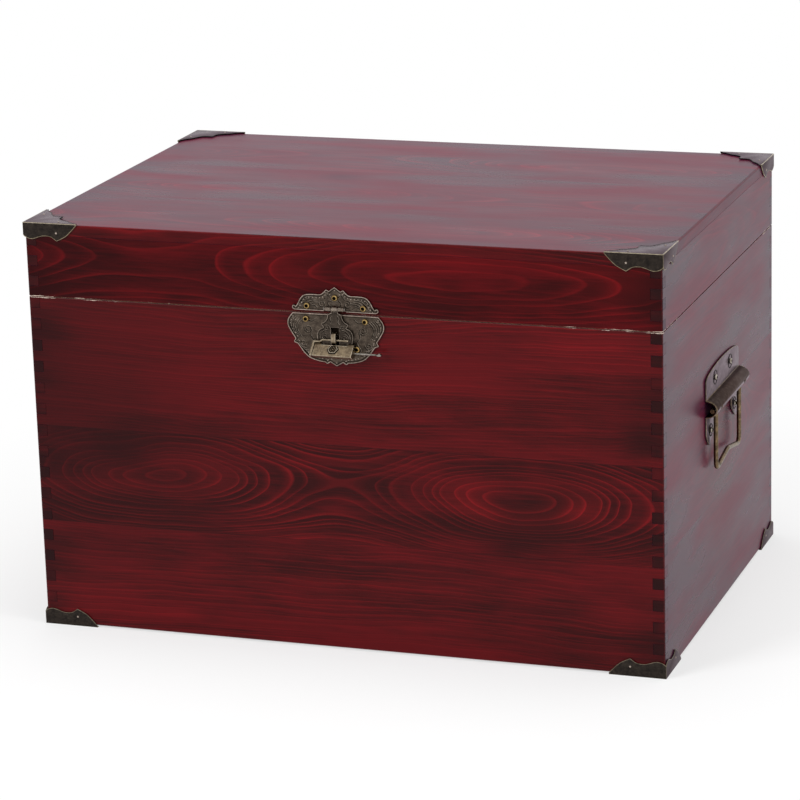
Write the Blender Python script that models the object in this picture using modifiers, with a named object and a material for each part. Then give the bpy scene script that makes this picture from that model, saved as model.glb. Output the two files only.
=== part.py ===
"""Wooden keepsake box: finger-jointed carcass with a sawn-off lid, stamped corner brackets,
a hasp with a small spring padlock, two bail handles and two rear butt hinges.

Metres, +Z up, front face towards -Y. The origin is on the floor, in the middle of the whole footprint.
"""
import math

import bmesh
import bpy
from mathutils import Matrix, Vector

# Carcass
BOX_WIDTH = 0.455
BOX_DEPTH = 0.320
BOX_HEIGHT = 0.292
BOARD = 0.008
LID_HEIGHT = 0.052
SAW_KERF = 0.0008
TOP_PANEL = 0.008
BOTTOM_PANEL = 0.006
BOTTOM_RECESS = 0.005
GROOVE_DEPTH = 0.003
FINGER_PITCH = 0.0077
ARRIS_RADIUS = 0.0012
GLUE_LINE = 0.0002

# Fits: the gap under seated pieces, the one round moving ones, and how far cuts run past
SEAT_GAP = 0.0003
RUNNING_GAP = 0.0003
OVERRUN = 0.004
WELD = 0.00001

# Corner brackets
BRACKET_LEG = 0.040
BRACKET_FLAP = 0.0125
BRACKET_GAUGE = 0.0008

# Screws
SCREW_HEAD_RADIUS = 0.0021
SCREW_HEAD_HEIGHT = 0.0011
SCREW_SHANK_RADIUS = 0.0010
SCREW_LENGTH = 0.0070

# Hasp, with heights measured from the parting plane
HASP_GAUGE = 0.0010
HASP_UPPER_HALF = 0.0305
HASP_UPPER_HEIGHT = 0.0165
HASP_UPPER_LIFT = 0.0021
HASP_LOWER_HALF = 0.0343
HASP_LOWER_HEIGHT = 0.0356
HASP_LOWER_DROP = 0.0005
TONGUE_HALF = 0.0126
TONGUE_LENGTH = 0.0318
TONGUE_GAUGE = 0.0009
HASP_AXIS_LIFT = 0.0038
HASP_AXIS_REACH = 0.0026
HASP_KNUCKLE_RADIUS = 0.0015
HASP_KNUCKLE_LENGTH = 0.0044
HASP_PIN_RADIUS = 0.0005
HASP_PIN_HEAD_RADIUS = 0.0012
HASP_PIN_HEAD_HEIGHT = 0.0005
SLOT_WIDTH = 0.0059
SLOT_HEIGHT = 0.0122
SLOT_TOP_DROP = 0.0088
UPPER_SCREW_SIDE = 0.0202
UPPER_SCREW_LIFT = 0.0051
UPPER_SCREW_CREST_LIFT = 0.0114
LOWER_SCREW_SIDE = 0.0212
LOWER_SCREW_DROP = 0.0041
LOWER_SCREW_FOOT_SIDE = 0.0149
LOWER_SCREW_FOOT_DROP = 0.0237

# Staple
STAPLE_WIDTH = 0.0030
STAPLE_WIRE = 0.0012
STAPLE_REACH = 0.0072
STAPLE_HEIGHT = 0.0074
STAPLE_TOP_DROP = 0.0122
STAPLE_TAIL = 0.0045
STAPLE_CROWN_RADIUS = 0.0018

# Padlock
LOCK_LENGTH = 0.0280
LOCK_HEIGHT = 0.0092
LOCK_DEPTH = 0.0086
LOCK_TOP_DROP = 0.0198
LOCK_EDGE_RADIUS = 0.0004
LOCK_RECESS_RADIUS = 0.0036
LOCK_LUG = 0.0045
LOCK_CHAMBER = 0.0036
LOCK_CHAMBER_REACH = 0.0060
LOCK_CHAMBER_DROP = 0.0056
LOCK_END_WALL = 0.0050
BOLT_PLATE = 0.0014
BOLT_PLATE_RISE = 0.0013
BOLT_BAR_RADIUS = 0.00075
BOLT_BAR_SINK = 0.0002
BOLT_BAR_FOOT = 0.0107
BOLT_BAR_LEFT = 0.0085
BOLT_BAR_RIGHT = 0.0100
BOLT_BAR_REACH = 0.0045
BOLT_BEND_RADIUS = 0.0012
BOLT_STEM_WIDTH = 0.0012
BOLT_STEM_LENGTH = 0.0180
BOLT_LEAF = 0.0004
BOLT_LEAF_SPREAD = 0.0013
BOLT_LEAF_LENGTH = 0.0130
KEY_RADIUS = 0.00065
KEY_HOLE_RADIUS = 0.0010
KEY_INSERTED = 0.0040
KEY_SHOWN = 0.0165
KEY_LOOP_RADIUS = 0.0016

# Bail handles
HANDLE_HALF = 0.0480
HANDLE_GAUGE = 0.0010
HANDLE_CENTRE = 0.1570
HANDLE_TOP_LIFT = 0.0258
HANDLE_SHOULDER_LIFT = 0.0195
CHANNEL_HALF_HEIGHT = 0.0059
CHANNEL_REACH = 0.0081
LOBE_WIDTH = 0.0225
LOBE_SHOULDER_DROP = 0.0192
LOBE_TIP_DROP = 0.0292
HANDLE_SCREW_INSET = 0.0262
HANDLE_SCREW_LIFT = 0.0165
LOBE_SCREW_INSET = 0.0132
LOBE_SCREW_DROP = 0.0180
LOBE_BEND_RADIUS = 0.0040
BAIL_WIRE_RADIUS = 0.0017
BAIL_INSET = 0.0137
BAIL_PIN = 0.0100
BAIL_DROP = 0.0448
BAIL_RISE = 0.0060
BAIL_BEND_RADIUS = 0.0060
BAIL_PIN_BEND_RADIUS = 0.0022
BAIL_AXIS_REACH = 0.0047
BAIL_AXIS_DROP = 0.0022
BAIL_SLOT_PLAY = 0.0005

# Rear hinges
HINGE_WIDTH = 0.034
HINGE_LEAF = 0.0150
HINGE_GAUGE = 0.0010
HINGE_SPACING = 0.280
HINGE_BARREL_RADIUS = 0.0020
HINGE_PIN_RADIUS = 0.0008
HINGE_PIN_HEAD_RADIUS = 0.0014
HINGE_PIN_HEAD_HEIGHT = 0.0006
HINGE_SCREW_SIDE = 0.0110
HINGE_SCREW_LIFT = 0.0092
HINGE_CORNER_RADIUS = 0.0030

# Segments of round shapes
ROUND_SIDES = 16
SMALL_SIDES = 10
CURVE_STEPS = 3
BRACKET_STEPS = 2
ARRIS_STEPS = 2
ARCH_STEPS = 6
CHANNEL_STEPS = 10

# Outlines, as shares of the half width and the height of the piece that they bound
FLAP_RUN_SHARES = [
    [(0.0, 0.70), (0.06, 0.86), (0.17, 0.93), (0.30, 0.80), (0.39, 0.735), (0.52, 0.77), (0.63, 1.0)],
    [(0.63, 1.0), (0.80, 0.72), (0.915, 0.38), (1.0, 0.09)],
]
FLANGE_RUN_SHARES = [
    [(1.0, 0.04), (0.87, 0.11), (0.76, 0.21), (0.64, 0.27), (0.54, 0.36), (0.53, 0.53)],
    [(0.53, 0.53), (0.36, 0.54), (0.27, 0.64), (0.21, 0.76), (0.11, 0.87), (0.04, 1.0)],
]
UPPER_RUN_SHARES = [
    [(0.0, 0.0), (0.955, 0.0)],
    [(0.955, 0.0), (1.0, 0.05), (1.0, 0.14), (0.965, 0.16)],
    [(0.965, 0.16), (0.925, 0.12), (0.88, 0.23), (0.80, 0.49), (0.697, 0.63), (0.52, 0.66),
     (0.36, 0.66), (0.28, 0.73), (0.20, 0.88)],
    [(0.20, 0.88), (0.133, 0.82)],
    [(0.133, 0.82), (0.0, 1.0)],
]
LOWER_RUN_SHARES = [
    [(0.0, 0.0), (0.892, 0.0)],
    [(0.892, 0.0), (0.985, 0.118), (1.0, 0.242), (0.933, 0.371), (0.846, 0.50)],
    [(0.846, 0.50), (0.883, 0.567)],
    [(0.883, 0.567), (0.80, 0.60)],
    [(0.80, 0.60), (0.77, 0.64), (0.684, 0.756), (0.56, 0.86), (0.38, 0.915), (0.24, 0.93)],
    [(0.24, 0.93), (0.20, 0.96), (0.135, 0.92)],
    [(0.135, 0.92), (0.0, 1.0)],
]
TONGUE_RUN_SHARES = [
    [(0.175, 0.0), (0.175, 0.082)],
    [(0.175, 0.082), (0.38, 0.12)],
    [(0.38, 0.12), (0.41, 0.19), (0.53, 0.27), (0.76, 0.33)],
    [(0.76, 0.33), (0.63, 0.41)],
    [(0.63, 0.41), (0.88, 0.46), (1.0, 0.563), (0.97, 0.704), (0.81, 0.827), (0.5, 0.93), (0.18, 0.96)],
    [(0.18, 0.96), (0.0, 1.0)],
]
LOCK_SECTION_SHARES = [
    (0.0, 0.0), (0.14, 0.0), (1.0, 0.66), (1.0, 0.74), (0.72, 0.97), (0.64, 1.0), (0.0, 1.0),
]
LOBE_TIP_SHARE = 0.62
HEAD_CROWN_SHARE = 0.62

# Places that follow from the sizes above
FOOT_GAUGE = BRACKET_GAUGE + SEAT_GAP
WOOD_BOTTOM = FOOT_GAUGE
WOOD_TOP = WOOD_BOTTOM + BOX_HEIGHT
PARTING = WOOD_TOP - LID_HEIGHT
BASE_TOP = PARTING - SAW_KERF / 2
LID_BOTTOM = PARTING + SAW_KERF / 2
LID_BOARD_TOP = WOOD_TOP - TOP_PANEL - GLUE_LINE
LOCK_BACK_REACH = HASP_AXIS_REACH + TONGUE_GAUGE / 2 + RUNNING_GAP
FRONT_REACH = LOCK_BACK_REACH + LOCK_DEPTH
HINGE_AXIS_REACH = SEAT_GAP + HINGE_BARREL_RADIUS
REAR_REACH = HINGE_AXIS_REACH + HINGE_BARREL_RADIUS
CENTRE_Y = (FRONT_REACH - REAR_REACH) / 2
FRONT_Y = CENTRE_Y - BOX_DEPTH / 2
BACK_Y = CENTRE_Y + BOX_DEPTH / 2
SIDE_X = BOX_WIDTH / 2
SCREW_HOLE_RADIUS = SCREW_SHANK_RADIUS + RUNNING_GAP
HASP_BORE_RADIUS = HASP_PIN_RADIUS + RUNNING_GAP
HINGE_BORE_RADIUS = HINGE_PIN_RADIUS + RUNNING_GAP
BAR_Z = PARTING - STAPLE_TOP_DROP - STAPLE_HEIGHT + STAPLE_WIRE + RUNNING_GAP + BOLT_BAR_RADIUS
BAR_Y = FRONT_Y - BOLT_BAR_REACH
LOCK_TOP = PARTING - LOCK_TOP_DROP
LOCK_BACK_Y = FRONT_Y - LOCK_BACK_REACH
CHAMBER_Y = FRONT_Y - LOCK_CHAMBER_REACH
CHAMBER_Z = LOCK_TOP - LOCK_CHAMBER_DROP
HINGE_AXIS = Vector((0.0, BACK_Y + HINGE_AXIS_REACH, PARTING))
TONGUE_AXIS = Vector((0.0, FRONT_Y - HASP_AXIS_REACH, PARTING + HASP_AXIS_LIFT))
LOCK_AXIS = Vector((0.0, BAR_Y, BAR_Z))
CHANNEL_MID_REACH = SEAT_GAP + HANDLE_GAUGE / 2
HANDLE_SCREW_SIDE = HANDLE_HALF - HANDLE_SCREW_INSET
LOBE_SCREW_SIDE = HANDLE_HALF - LOBE_SCREW_INSET
BAIL_HALF = HANDLE_HALF - BAIL_INSET
BAIL_AXIS_Z = HANDLE_CENTRE - BAIL_AXIS_DROP

WOOD = ("#5a1418", 0.28, 0.0)
BARE_WOOD = ("#c79a6b", 0.70, 0.0)
BRONZE = ("#4a4238", 0.42, 0.9)
AGED_BRASS = ("#9a8a66", 0.38, 1.0)
STEEL = ("#8f8b84", 0.35, 1.0)

parts = None
cutters = None


# Scene and object helpers
def clear_scene():
    for item in list(bpy.data.objects):
        bpy.data.objects.remove(item, do_unlink=True)


def new_collection(name):
    collection = bpy.data.collections.new(name)
    bpy.context.scene.collection.children.link(collection)
    return collection


def linear(channel):
    if channel <= 0.04045:
        return channel / 12.92
    return ((channel + 0.055) / 1.055) ** 2.4


def finish(item, look):
    """Gives the piece its own material."""
    code, roughness, metallic = look
    rgb = [linear(int(code[i:i + 2], 16) / 255) for i in (1, 3, 5)]
    material = bpy.data.materials.new(item.name + "_finish")
    material.use_nodes = True
    shader = material.node_tree.nodes["Principled BSDF"]
    shader.inputs["Base Color"].default_value = (*rgb, 1.0)
    shader.inputs["Roughness"].default_value = roughness
    shader.inputs["Metallic"].default_value = metallic
    item.data.materials.clear()
    item.data.materials.append(material)
    return item


def object_from_bmesh(name, bm, collection):
    bmesh.ops.recalc_face_normals(bm, faces=bm.faces)
    mesh = bpy.data.meshes.new(name)
    bm.to_mesh(mesh)
    bm.free()
    item = bpy.data.objects.new(name, mesh)
    collection.objects.link(item)
    if collection is cutters:
        item.hide_render = True
        item.display_type = "WIRE"
    return item


def add_box(bm, low, high):
    size = [high[i] - low[i] for i in range(3)]
    middle = [(high[i] + low[i]) / 2 for i in range(3)]
    place = Matrix.Translation(middle) @ Matrix.Diagonal((*size, 1.0))
    bmesh.ops.create_cube(bm, size=1.0, matrix=place)


def box(name, low, high, collection=None):
    """A box between two corners, with its origin at its middle."""
    middle = Vector([(high[i] + low[i]) / 2 for i in range(3)])
    bm = bmesh.new()
    add_box(bm, Vector(low) - middle, Vector(high) - middle)
    item = object_from_bmesh(name, bm, collection or parts)
    item.location = middle
    return item


def rod(name, start, end, radius, collection=None, sides=ROUND_SIDES):
    """A cylinder between two points, with its origin at its middle."""
    start = Vector(start)
    end = Vector(end)
    turn = (end - start).to_track_quat("Z", "Y").to_matrix().to_4x4()
    bm = bmesh.new()
    bmesh.ops.create_cone(
        bm, cap_ends=True, segments=sides, radius1=radius, radius2=radius,
        depth=(end - start).length, matrix=turn,
    )
    item = object_from_bmesh(name, bm, collection or parts)
    item.location = (start + end) / 2
    return item


def boolean(item, other, operation):
    step = item.modifiers.new(other.name, "BOOLEAN")
    step.operation = operation
    step.solver = "EXACT"
    step.object = other
    return item


def cut(item, *tools):
    for tool in tools:
        boolean(item, tool, "DIFFERENCE")
    return item


def join(item, *others):
    """Fuses helper solids, kept with the cutters, into the piece."""
    for other in others:
        boolean(item, other, "UNION")
    return item


def carry(pivot, *pieces):
    """Parents pieces to the empty that stands on their joint's axis, without moving them."""
    inverse = Matrix.Translation(pivot.location).inverted()
    for piece in pieces:
        piece.parent = pivot
        piece.matrix_parent_inverse = inverse


def pivot_empty(name, place):
    empty = bpy.data.objects.new(name, None)
    empty.empty_display_size = BOARD
    empty.location = place
    parts.objects.link(empty)
    return empty


# Outlines
def smooth_run(points, steps=CURVE_STEPS):
    """Points along a smooth curve through the given ones; two points make a straight line."""
    if len(points) == 2:
        return [Vector(point) for point in points]
    ends = [points[0], *points, points[-1]]
    run = []
    for a, b, c, d in zip(ends, ends[1:], ends[2:], ends[3:]):
        a, b, c, d = (Vector(point) for point in (a, b, c, d))
        for step in range(steps):
            t = step / steps
            run.append(
                0.5 * (2 * b + (c - a) * t + (2 * a - 5 * b + 4 * c - d) * t * t
                       + (3 * b - 3 * c + d - a) * t ** 3)
            )
    run.append(Vector(points[-1]))
    return run


def outline_from_shares(runs, across, along, steps=CURVE_STEPS):
    """Joins smooth runs, scaled to the piece, into one line without doubled corners."""
    line = []
    for run in runs:
        scaled = [(u * across, v * along) for u, v in run]
        for point in smooth_run(scaled, steps):
            if not line or (point - line[-1]).length > RUNNING_GAP / 2:
                line.append(point)
    return line


def symmetric(half):
    """Closes a half outline, given from one point on the middle line to the other."""
    mirrored = [Vector((-point.x, point.y)) for point in reversed(half) if abs(point.x) > RUNNING_GAP / 2]
    return half + mirrored


def rounded_path(points, radius, steps=CURVE_STEPS):
    """A polyline whose inner corners are rounded, all with one radius or each with its own."""
    radii = radius if isinstance(radius, list) else [radius] * (len(points) - 2)
    path = [Vector(points[0])]
    for before, corner, after, radius in zip(points, points[1:], points[2:], radii):
        before, corner, after = Vector(before), Vector(corner), Vector(after)
        inward = (before - corner).normalized()
        outward = (after - corner).normalized()
        half = inward.angle(outward) / 2
        run = min(radius / math.tan(half), (before - corner).length / 2, (after - corner).length / 2)
        first = corner + inward * run
        last = corner + outward * run
        for step in range(steps + 1):
            t = step / steps
            path.append(first * (1 - t) ** 2 + corner * 2 * t * (1 - t) + last * t * t)
    path.append(Vector(points[-1]))
    return path


def plate(name, points, thickness, place, collection=None):
    """A flat outline filled and thickened about its plane, as a welded mesh placed by a matrix."""
    curve = bpy.data.curves.new(name, "CURVE")
    curve.dimensions = "2D"
    curve.fill_mode = "BOTH"
    curve.extrude = thickness / 2
    spline = curve.splines.new("POLY")
    spline.points.add(len(points) - 1)
    for target, point in zip(spline.points, points):
        target.co = (point[0], point[1], 0.0, 1.0)
    spline.use_cyclic_u = True
    return solid_from_curve(name, curve, place, collection)


def wire(name, points, radius, place=Matrix(), collection=None, cyclic=False):
    """A round wire along a path."""
    curve = bpy.data.curves.new(name, "CURVE")
    curve.dimensions = "3D"
    curve.bevel_depth = radius
    curve.bevel_resolution = 2
    curve.use_fill_caps = not cyclic
    spline = curve.splines.new("POLY")
    spline.points.add(len(points) - 1)
    for target, point in zip(spline.points, points):
        target.co = (*point, 1.0)
    spline.use_cyclic_u = cyclic
    return solid_from_curve(name, curve, place, collection)


def solid_from_curve(name, curve, place, collection):
    """Turns a curve into a welded mesh object and drops the curve."""
    source = bpy.data.objects.new(name + "_curve", curve)
    bpy.context.scene.collection.objects.link(source)
    source.matrix_world = place
    graph = bpy.context.evaluated_depsgraph_get()
    mesh = bpy.data.meshes.new_from_object(source.evaluated_get(graph))
    bm = bmesh.new()
    bm.from_mesh(mesh)
    bmesh.ops.remove_doubles(bm, verts=bm.verts, dist=WELD)
    bpy.data.meshes.remove(mesh)
    item = object_from_bmesh(name, bm, collection or parts)
    item.matrix_world = place
    bpy.data.objects.remove(source, do_unlink=True)
    return item


def on_front(y, z):
    """Places an outline drawn in X and up so that its plane stands at depth y, facing the front."""
    return Matrix.Translation((0.0, y, z)) @ Matrix.Rotation(math.pi / 2, 4, "X")


def on_right(x, z):
    """Places an outline drawn in Y and up on a plane that faces +X."""
    return Matrix.Translation((x, CENTRE_Y, z)) @ Matrix.Rotation(math.pi / 2, 4, "Z") @ Matrix.Rotation(
        math.pi / 2, 4, "X")


# Carcass
def carcass_envelope():
    """The outer form of box and lid, with rounded arrises, that every board is trimmed to."""
    envelope = box("carcass_envelope", (-SIDE_X, FRONT_Y, WOOD_BOTTOM), (SIDE_X, BACK_Y, WOOD_TOP), cutters)
    rounding = envelope.modifiers.new("arris", "BEVEL")
    rounding.width = ARRIS_RADIUS
    rounding.segments = ARRIS_STEPS
    return envelope


def finger_comb(name, bottom, top, parity, horizontal):
    """Cuts every other finger slot at both ends of a board.

    horizontal is True on the front and back boards, whose fingers are notched in X.
    """
    count = max(3, round((top - bottom) / FINGER_PITCH))
    pitch = (top - bottom) / count
    inner_x = SIDE_X - BOARD - GLUE_LINE
    inner_y = BOX_DEPTH / 2 - BOARD - GLUE_LINE
    bm = bmesh.new()
    for slot in range(count):
        if slot % 2 != parity:
            continue
        low = bottom + slot * pitch - GLUE_LINE / 2
        high = bottom + (slot + 1) * pitch + GLUE_LINE / 2
        if slot == 0:
            low = bottom - OVERRUN
        if slot == count - 1:
            high = top + OVERRUN
        for side in (-1, 1):
            if horizontal:
                near, far = sorted((side * inner_x, side * (SIDE_X + OVERRUN)))
                add_box(bm, (near, FRONT_Y - OVERRUN, low), (far, BACK_Y + OVERRUN, high))
            else:
                near, far = sorted((side * inner_y, side * (BOX_DEPTH / 2 + OVERRUN)))
                add_box(
                    bm, (-SIDE_X - OVERRUN, CENTRE_Y + near, low), (SIDE_X + OVERRUN, CENTRE_Y + far, high))
    return object_from_bmesh(name, bm, cutters)


def board_blanks(prefix, low, high, bottom_cover, top_cover):
    """Four square-ended boards that run past the envelope outside; returns front, back, left, right."""
    bottom = low - bottom_cover
    top = high + top_cover
    reach_x = SIDE_X + OVERRUN / 2
    reach_y = BOX_DEPTH / 2 + OVERRUN / 2
    front = box(
        prefix + "_front_board",
        (-reach_x, CENTRE_Y - reach_y, bottom), (reach_x, FRONT_Y + BOARD, top))
    back = box(
        prefix + "_back_board",
        (-reach_x, BACK_Y - BOARD, bottom), (reach_x, CENTRE_Y + reach_y, top))
    left = box(
        prefix + "_left_board",
        (-reach_x, CENTRE_Y - reach_y, bottom), (-SIDE_X + BOARD, CENTRE_Y + reach_y, top))
    right = box(
        prefix + "_right_board",
        (SIDE_X - BOARD, CENTRE_Y - reach_y, bottom), (reach_x, CENTRE_Y + reach_y, top))
    return front, back, left, right


def joined_boards(prefix, low, high, bottom_cover, top_cover, envelope, front_parity):
    """Four boards with interlocking fingers at the corners, trimmed to the envelope."""
    boards = board_blanks(prefix, low, high, bottom_cover, top_cover)
    front_comb = finger_comb(prefix + "_front_comb", low, high, front_parity, True)
    side_comb = finger_comb(prefix + "_side_comb", low, high, 1 - front_parity, False)
    for board, comb in zip(boards, (front_comb, front_comb, side_comb, side_comb)):
        boolean(board, envelope, "INTERSECT")
        cut(board, comb)
        finish(board, WOOD)
    return boards


def panel_in_grooves(boards):
    """The bottom panel, held in a groove that runs round the inside of the base boards."""
    reach_x = SIDE_X - BOARD + GROOVE_DEPTH
    reach_y = BOX_DEPTH / 2 - BOARD + GROOVE_DEPTH
    low = WOOD_BOTTOM + BOTTOM_RECESS
    high = low + BOTTOM_PANEL
    groove = box(
        "bottom_groove",
        (-reach_x, CENTRE_Y - reach_y, low), (reach_x, CENTRE_Y + reach_y, high), cutters)
    for board in boards:
        cut(board, groove)
    panel = box(
        "bottom_panel",
        (-reach_x + SEAT_GAP, CENTRE_Y - reach_y + SEAT_GAP, low + SEAT_GAP),
        (reach_x - SEAT_GAP, CENTRE_Y + reach_y - SEAT_GAP, high - SEAT_GAP))
    return finish(panel, BARE_WOOD)


def lid_top(envelope):
    """The top panel, glued on the lid boards and flush with their faces."""
    reach_x = SIDE_X + OVERRUN / 2
    reach_y = BOX_DEPTH / 2 + OVERRUN / 2
    panel = box(
        "lid_top_panel",
        (-reach_x, CENTRE_Y - reach_y, WOOD_TOP - TOP_PANEL),
        (reach_x, CENTRE_Y + reach_y, WOOD_TOP + OVERRUN))
    boolean(panel, envelope, "INTERSECT")
    return finish(panel, WOOD)


# Screws
def screw(name, seat, direction, holes):
    """A round-head screw on a seat, pointing along direction, and the holes that its shank needs."""
    seat = Vector(seat)
    direction = Vector(direction)
    under_head = seat - direction * SEAT_GAP
    tip = under_head + direction * SCREW_LENGTH
    crown = under_head - direction * SCREW_HEAD_HEIGHT
    turn = direction.to_track_quat("Z", "Y").to_matrix().to_4x4()
    bm = bmesh.new()
    bmesh.ops.create_cone(
        bm, cap_ends=True, segments=ROUND_SIDES, radius1=SCREW_HEAD_RADIUS * HEAD_CROWN_SHARE,
        radius2=SCREW_HEAD_RADIUS, depth=SCREW_HEAD_HEIGHT, matrix=turn)
    item = object_from_bmesh(name, bm, parts)
    item.location = (under_head + crown) / 2
    shank = rod(
        name + "_shank", under_head - direction * SCREW_HEAD_HEIGHT / 2, tip, SCREW_SHANK_RADIUS,
        cutters, SMALL_SIDES)
    join(item, shank)
    hole = rod(
        name + "_hole", seat - direction * OVERRUN, tip + direction * RUNNING_GAP, SCREW_HOLE_RADIUS,
        cutters, SMALL_SIDES)
    for piece in holes:
        cut(piece, hole)
    return finish(item, AGED_BRASS)


# Corner brackets
def corner_bracket(name, side_x, side_y, top):
    """A stamped corner: a wavy triangle on the top or bottom and a scalloped flap on each face.

    It is modelled at the right, front, top corner and mirrored into the others.
    """
    leg = BRACKET_LEG
    past = leg + OVERRUN
    scallop = outline_from_shares(FLAP_RUN_SHARES, leg, BRACKET_FLAP, BRACKET_STEPS)
    below = BRACKET_FLAP + OVERRUN
    rest = [*scallop[1:], Vector((past, scallop[-1].y)), Vector((past, below))]
    off_front = [Vector((-OVERRUN, below)), Vector((-OVERRUN, scallop[0].y)), scallop[0], *rest]
    fold = BRACKET_GAUGE / 2
    off_side = [Vector((fold, below)), Vector((fold, scallop[0].y)), *rest]
    wave = outline_from_shares(FLANGE_RUN_SHARES, leg, leg, BRACKET_STEPS)
    off_flange = [
        Vector((past, wave[0].y)), *wave, Vector((wave[-1].x, past)), Vector((past, past)),
    ]
    item = box(name, (0.0, 0.0, -BRACKET_FLAP), (leg, leg, 0.0))
    inside = box(
        name + "_inside", (BRACKET_GAUGE, BRACKET_GAUGE, -below), (past, past, -BRACKET_GAUGE), cutters)
    width = BRACKET_GAUGE + RUNNING_GAP + OVERRUN
    middle = (BRACKET_GAUGE + RUNNING_GAP - OVERRUN) / 2
    on_its_side = Matrix.Rotation(-math.pi / 2, 4, "X")
    front_trim = plate(
        name + "_front_trim", off_front, width,
        Matrix.Translation((0.0, middle, 0.0)) @ on_its_side, cutters)
    side_trim = plate(
        name + "_side_trim", off_side, width,
        Matrix.Translation((middle, 0.0, 0.0)) @ Matrix.Rotation(math.pi / 2, 4, "Z") @ on_its_side, cutters)
    flange_trim = plate(name + "_flange_trim", off_flange, 2 * below, Matrix(), cutters)
    for shape in (item, inside, front_trim, side_trim, flange_trim):
        to_corner(shape, side_x, side_y, top)
    cut(item, inside, front_trim, side_trim, flange_trim)
    return finish(item, BRONZE)


def to_corner(item, side_x, side_y, top):
    """Moves a shape drawn from the corner point inwards along +X, +Y and -Z to one corner of the box."""
    corner_z = WOOD_TOP + FOOT_GAUGE if top else WOOD_BOTTOM - FOOT_GAUGE
    corner = (
        side_x * (SIDE_X + FOOT_GAUGE),
        CENTRE_Y + side_y * (BOX_DEPTH / 2 + FOOT_GAUGE),
        corner_z)
    flip = Matrix.Diagonal((-side_x, -side_y, 1.0 if top else -1.0, 1.0))
    item.data.transform(flip @ item.matrix_basis)
    if flip.determinant() < 0:
        item.data.flip_normals()
    item.matrix_world = Matrix.Translation(corner)


# Hasp
def hasp_upper(lid_front):
    """The lid's half of the hasp: crested plate with two outer knuckles."""
    half = outline_from_shares(UPPER_RUN_SHARES, HASP_UPPER_HALF, HASP_UPPER_HEIGHT)
    item = plate(
        "hasp_upper_plate", symmetric(half), HASP_GAUGE,
        on_front(FRONT_Y - SEAT_GAP - HASP_GAUGE / 2, PARTING + HASP_UPPER_LIFT))
    middle = HASP_KNUCKLE_LENGTH / 2
    clear = HASP_KNUCKLE_RADIUS + RUNNING_GAP
    notch = box(
        "hasp_knuckle_notch",
        (-middle - RUNNING_GAP, FRONT_Y - HASP_AXIS_REACH, PARTING),
        (middle + RUNNING_GAP, FRONT_Y + OVERRUN, TONGUE_AXIS.z + clear), cutters)
    cut(item, notch)
    inner = middle + RUNNING_GAP
    outer = inner + HASP_KNUCKLE_LENGTH
    for side, label in ((-1, "left"), (1, "right")):
        knuckle = rod(
            "hasp_knuckle_" + label,
            TONGUE_AXIS + Vector((side * inner, 0.0, 0.0)), TONGUE_AXIS + Vector((side * outer, 0.0, 0.0)),
            HASP_KNUCKLE_RADIUS, cutters)
        join(item, knuckle)
    bore = rod(
        "hasp_bore",
        TONGUE_AXIS - Vector((outer + OVERRUN, 0.0, 0.0)), TONGUE_AXIS + Vector((outer + OVERRUN, 0.0, 0.0)),
        HASP_BORE_RADIUS, cutters, SMALL_SIDES)
    cut(item, bore)
    seat_y = FRONT_Y - SEAT_GAP - HASP_GAUGE
    places = {
        "hasp_screw_upper_left": (-UPPER_SCREW_SIDE, UPPER_SCREW_LIFT),
        "hasp_screw_upper_crest": (0.0, UPPER_SCREW_CREST_LIFT),
        "hasp_screw_upper_right": (UPPER_SCREW_SIDE, UPPER_SCREW_LIFT),
    }
    screws = [
        screw(name, (x, seat_y, PARTING + lift), (0.0, 1.0, 0.0), (item, lid_front))
        for name, (x, lift) in places.items()
    ]
    head = HASP_PIN_HEAD_HEIGHT
    start = TONGUE_AXIS - Vector((outer + RUNNING_GAP, 0.0, 0.0))
    end = TONGUE_AXIS + Vector((outer + RUNNING_GAP, 0.0, 0.0))
    along = Vector((head, 0.0, 0.0))
    pin = rod("hasp_pin", start - along / 2, end + along / 2, HASP_PIN_RADIUS, None, SMALL_SIDES)
    join(
        pin,
        rod("hasp_pin_head_left", start - along, start, HASP_PIN_HEAD_RADIUS, cutters, SMALL_SIDES),
        rod("hasp_pin_head_right", end, end + along, HASP_PIN_HEAD_RADIUS, cutters, SMALL_SIDES))
    finish(item, BRONZE)
    finish(pin, STEEL)
    return [item, pin, *screws]


def hasp_tongue():
    """The swinging tongue: middle knuckle, waisted leaf and a slot for the staple."""
    half = outline_from_shares(TONGUE_RUN_SHARES, TONGUE_HALF, -TONGUE_LENGTH)
    item = plate("hasp_tongue", symmetric(half), TONGUE_GAUGE, on_front(TONGUE_AXIS.y, TONGUE_AXIS.z))
    middle = Vector((HASP_KNUCKLE_LENGTH / 2, 0.0, 0.0))
    knuckle = rod(
        "tongue_knuckle", TONGUE_AXIS - middle, TONGUE_AXIS + middle, HASP_KNUCKLE_RADIUS, cutters)
    reach = Vector((HASP_KNUCKLE_LENGTH + OVERRUN, 0.0, 0.0))
    bore = rod(
        "tongue_bore", TONGUE_AXIS - reach, TONGUE_AXIS + reach, HASP_BORE_RADIUS, cutters, SMALL_SIDES)
    slot_top = PARTING - SLOT_TOP_DROP
    slot = box(
        "tongue_slot",
        (-SLOT_WIDTH / 2, TONGUE_AXIS.y - OVERRUN / 2, slot_top - SLOT_HEIGHT),
        (SLOT_WIDTH / 2, TONGUE_AXIS.y + OVERRUN / 2, slot_top), cutters)
    join(item, knuckle)
    cut(item, bore, slot)
    return finish(item, BRONZE)


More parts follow.
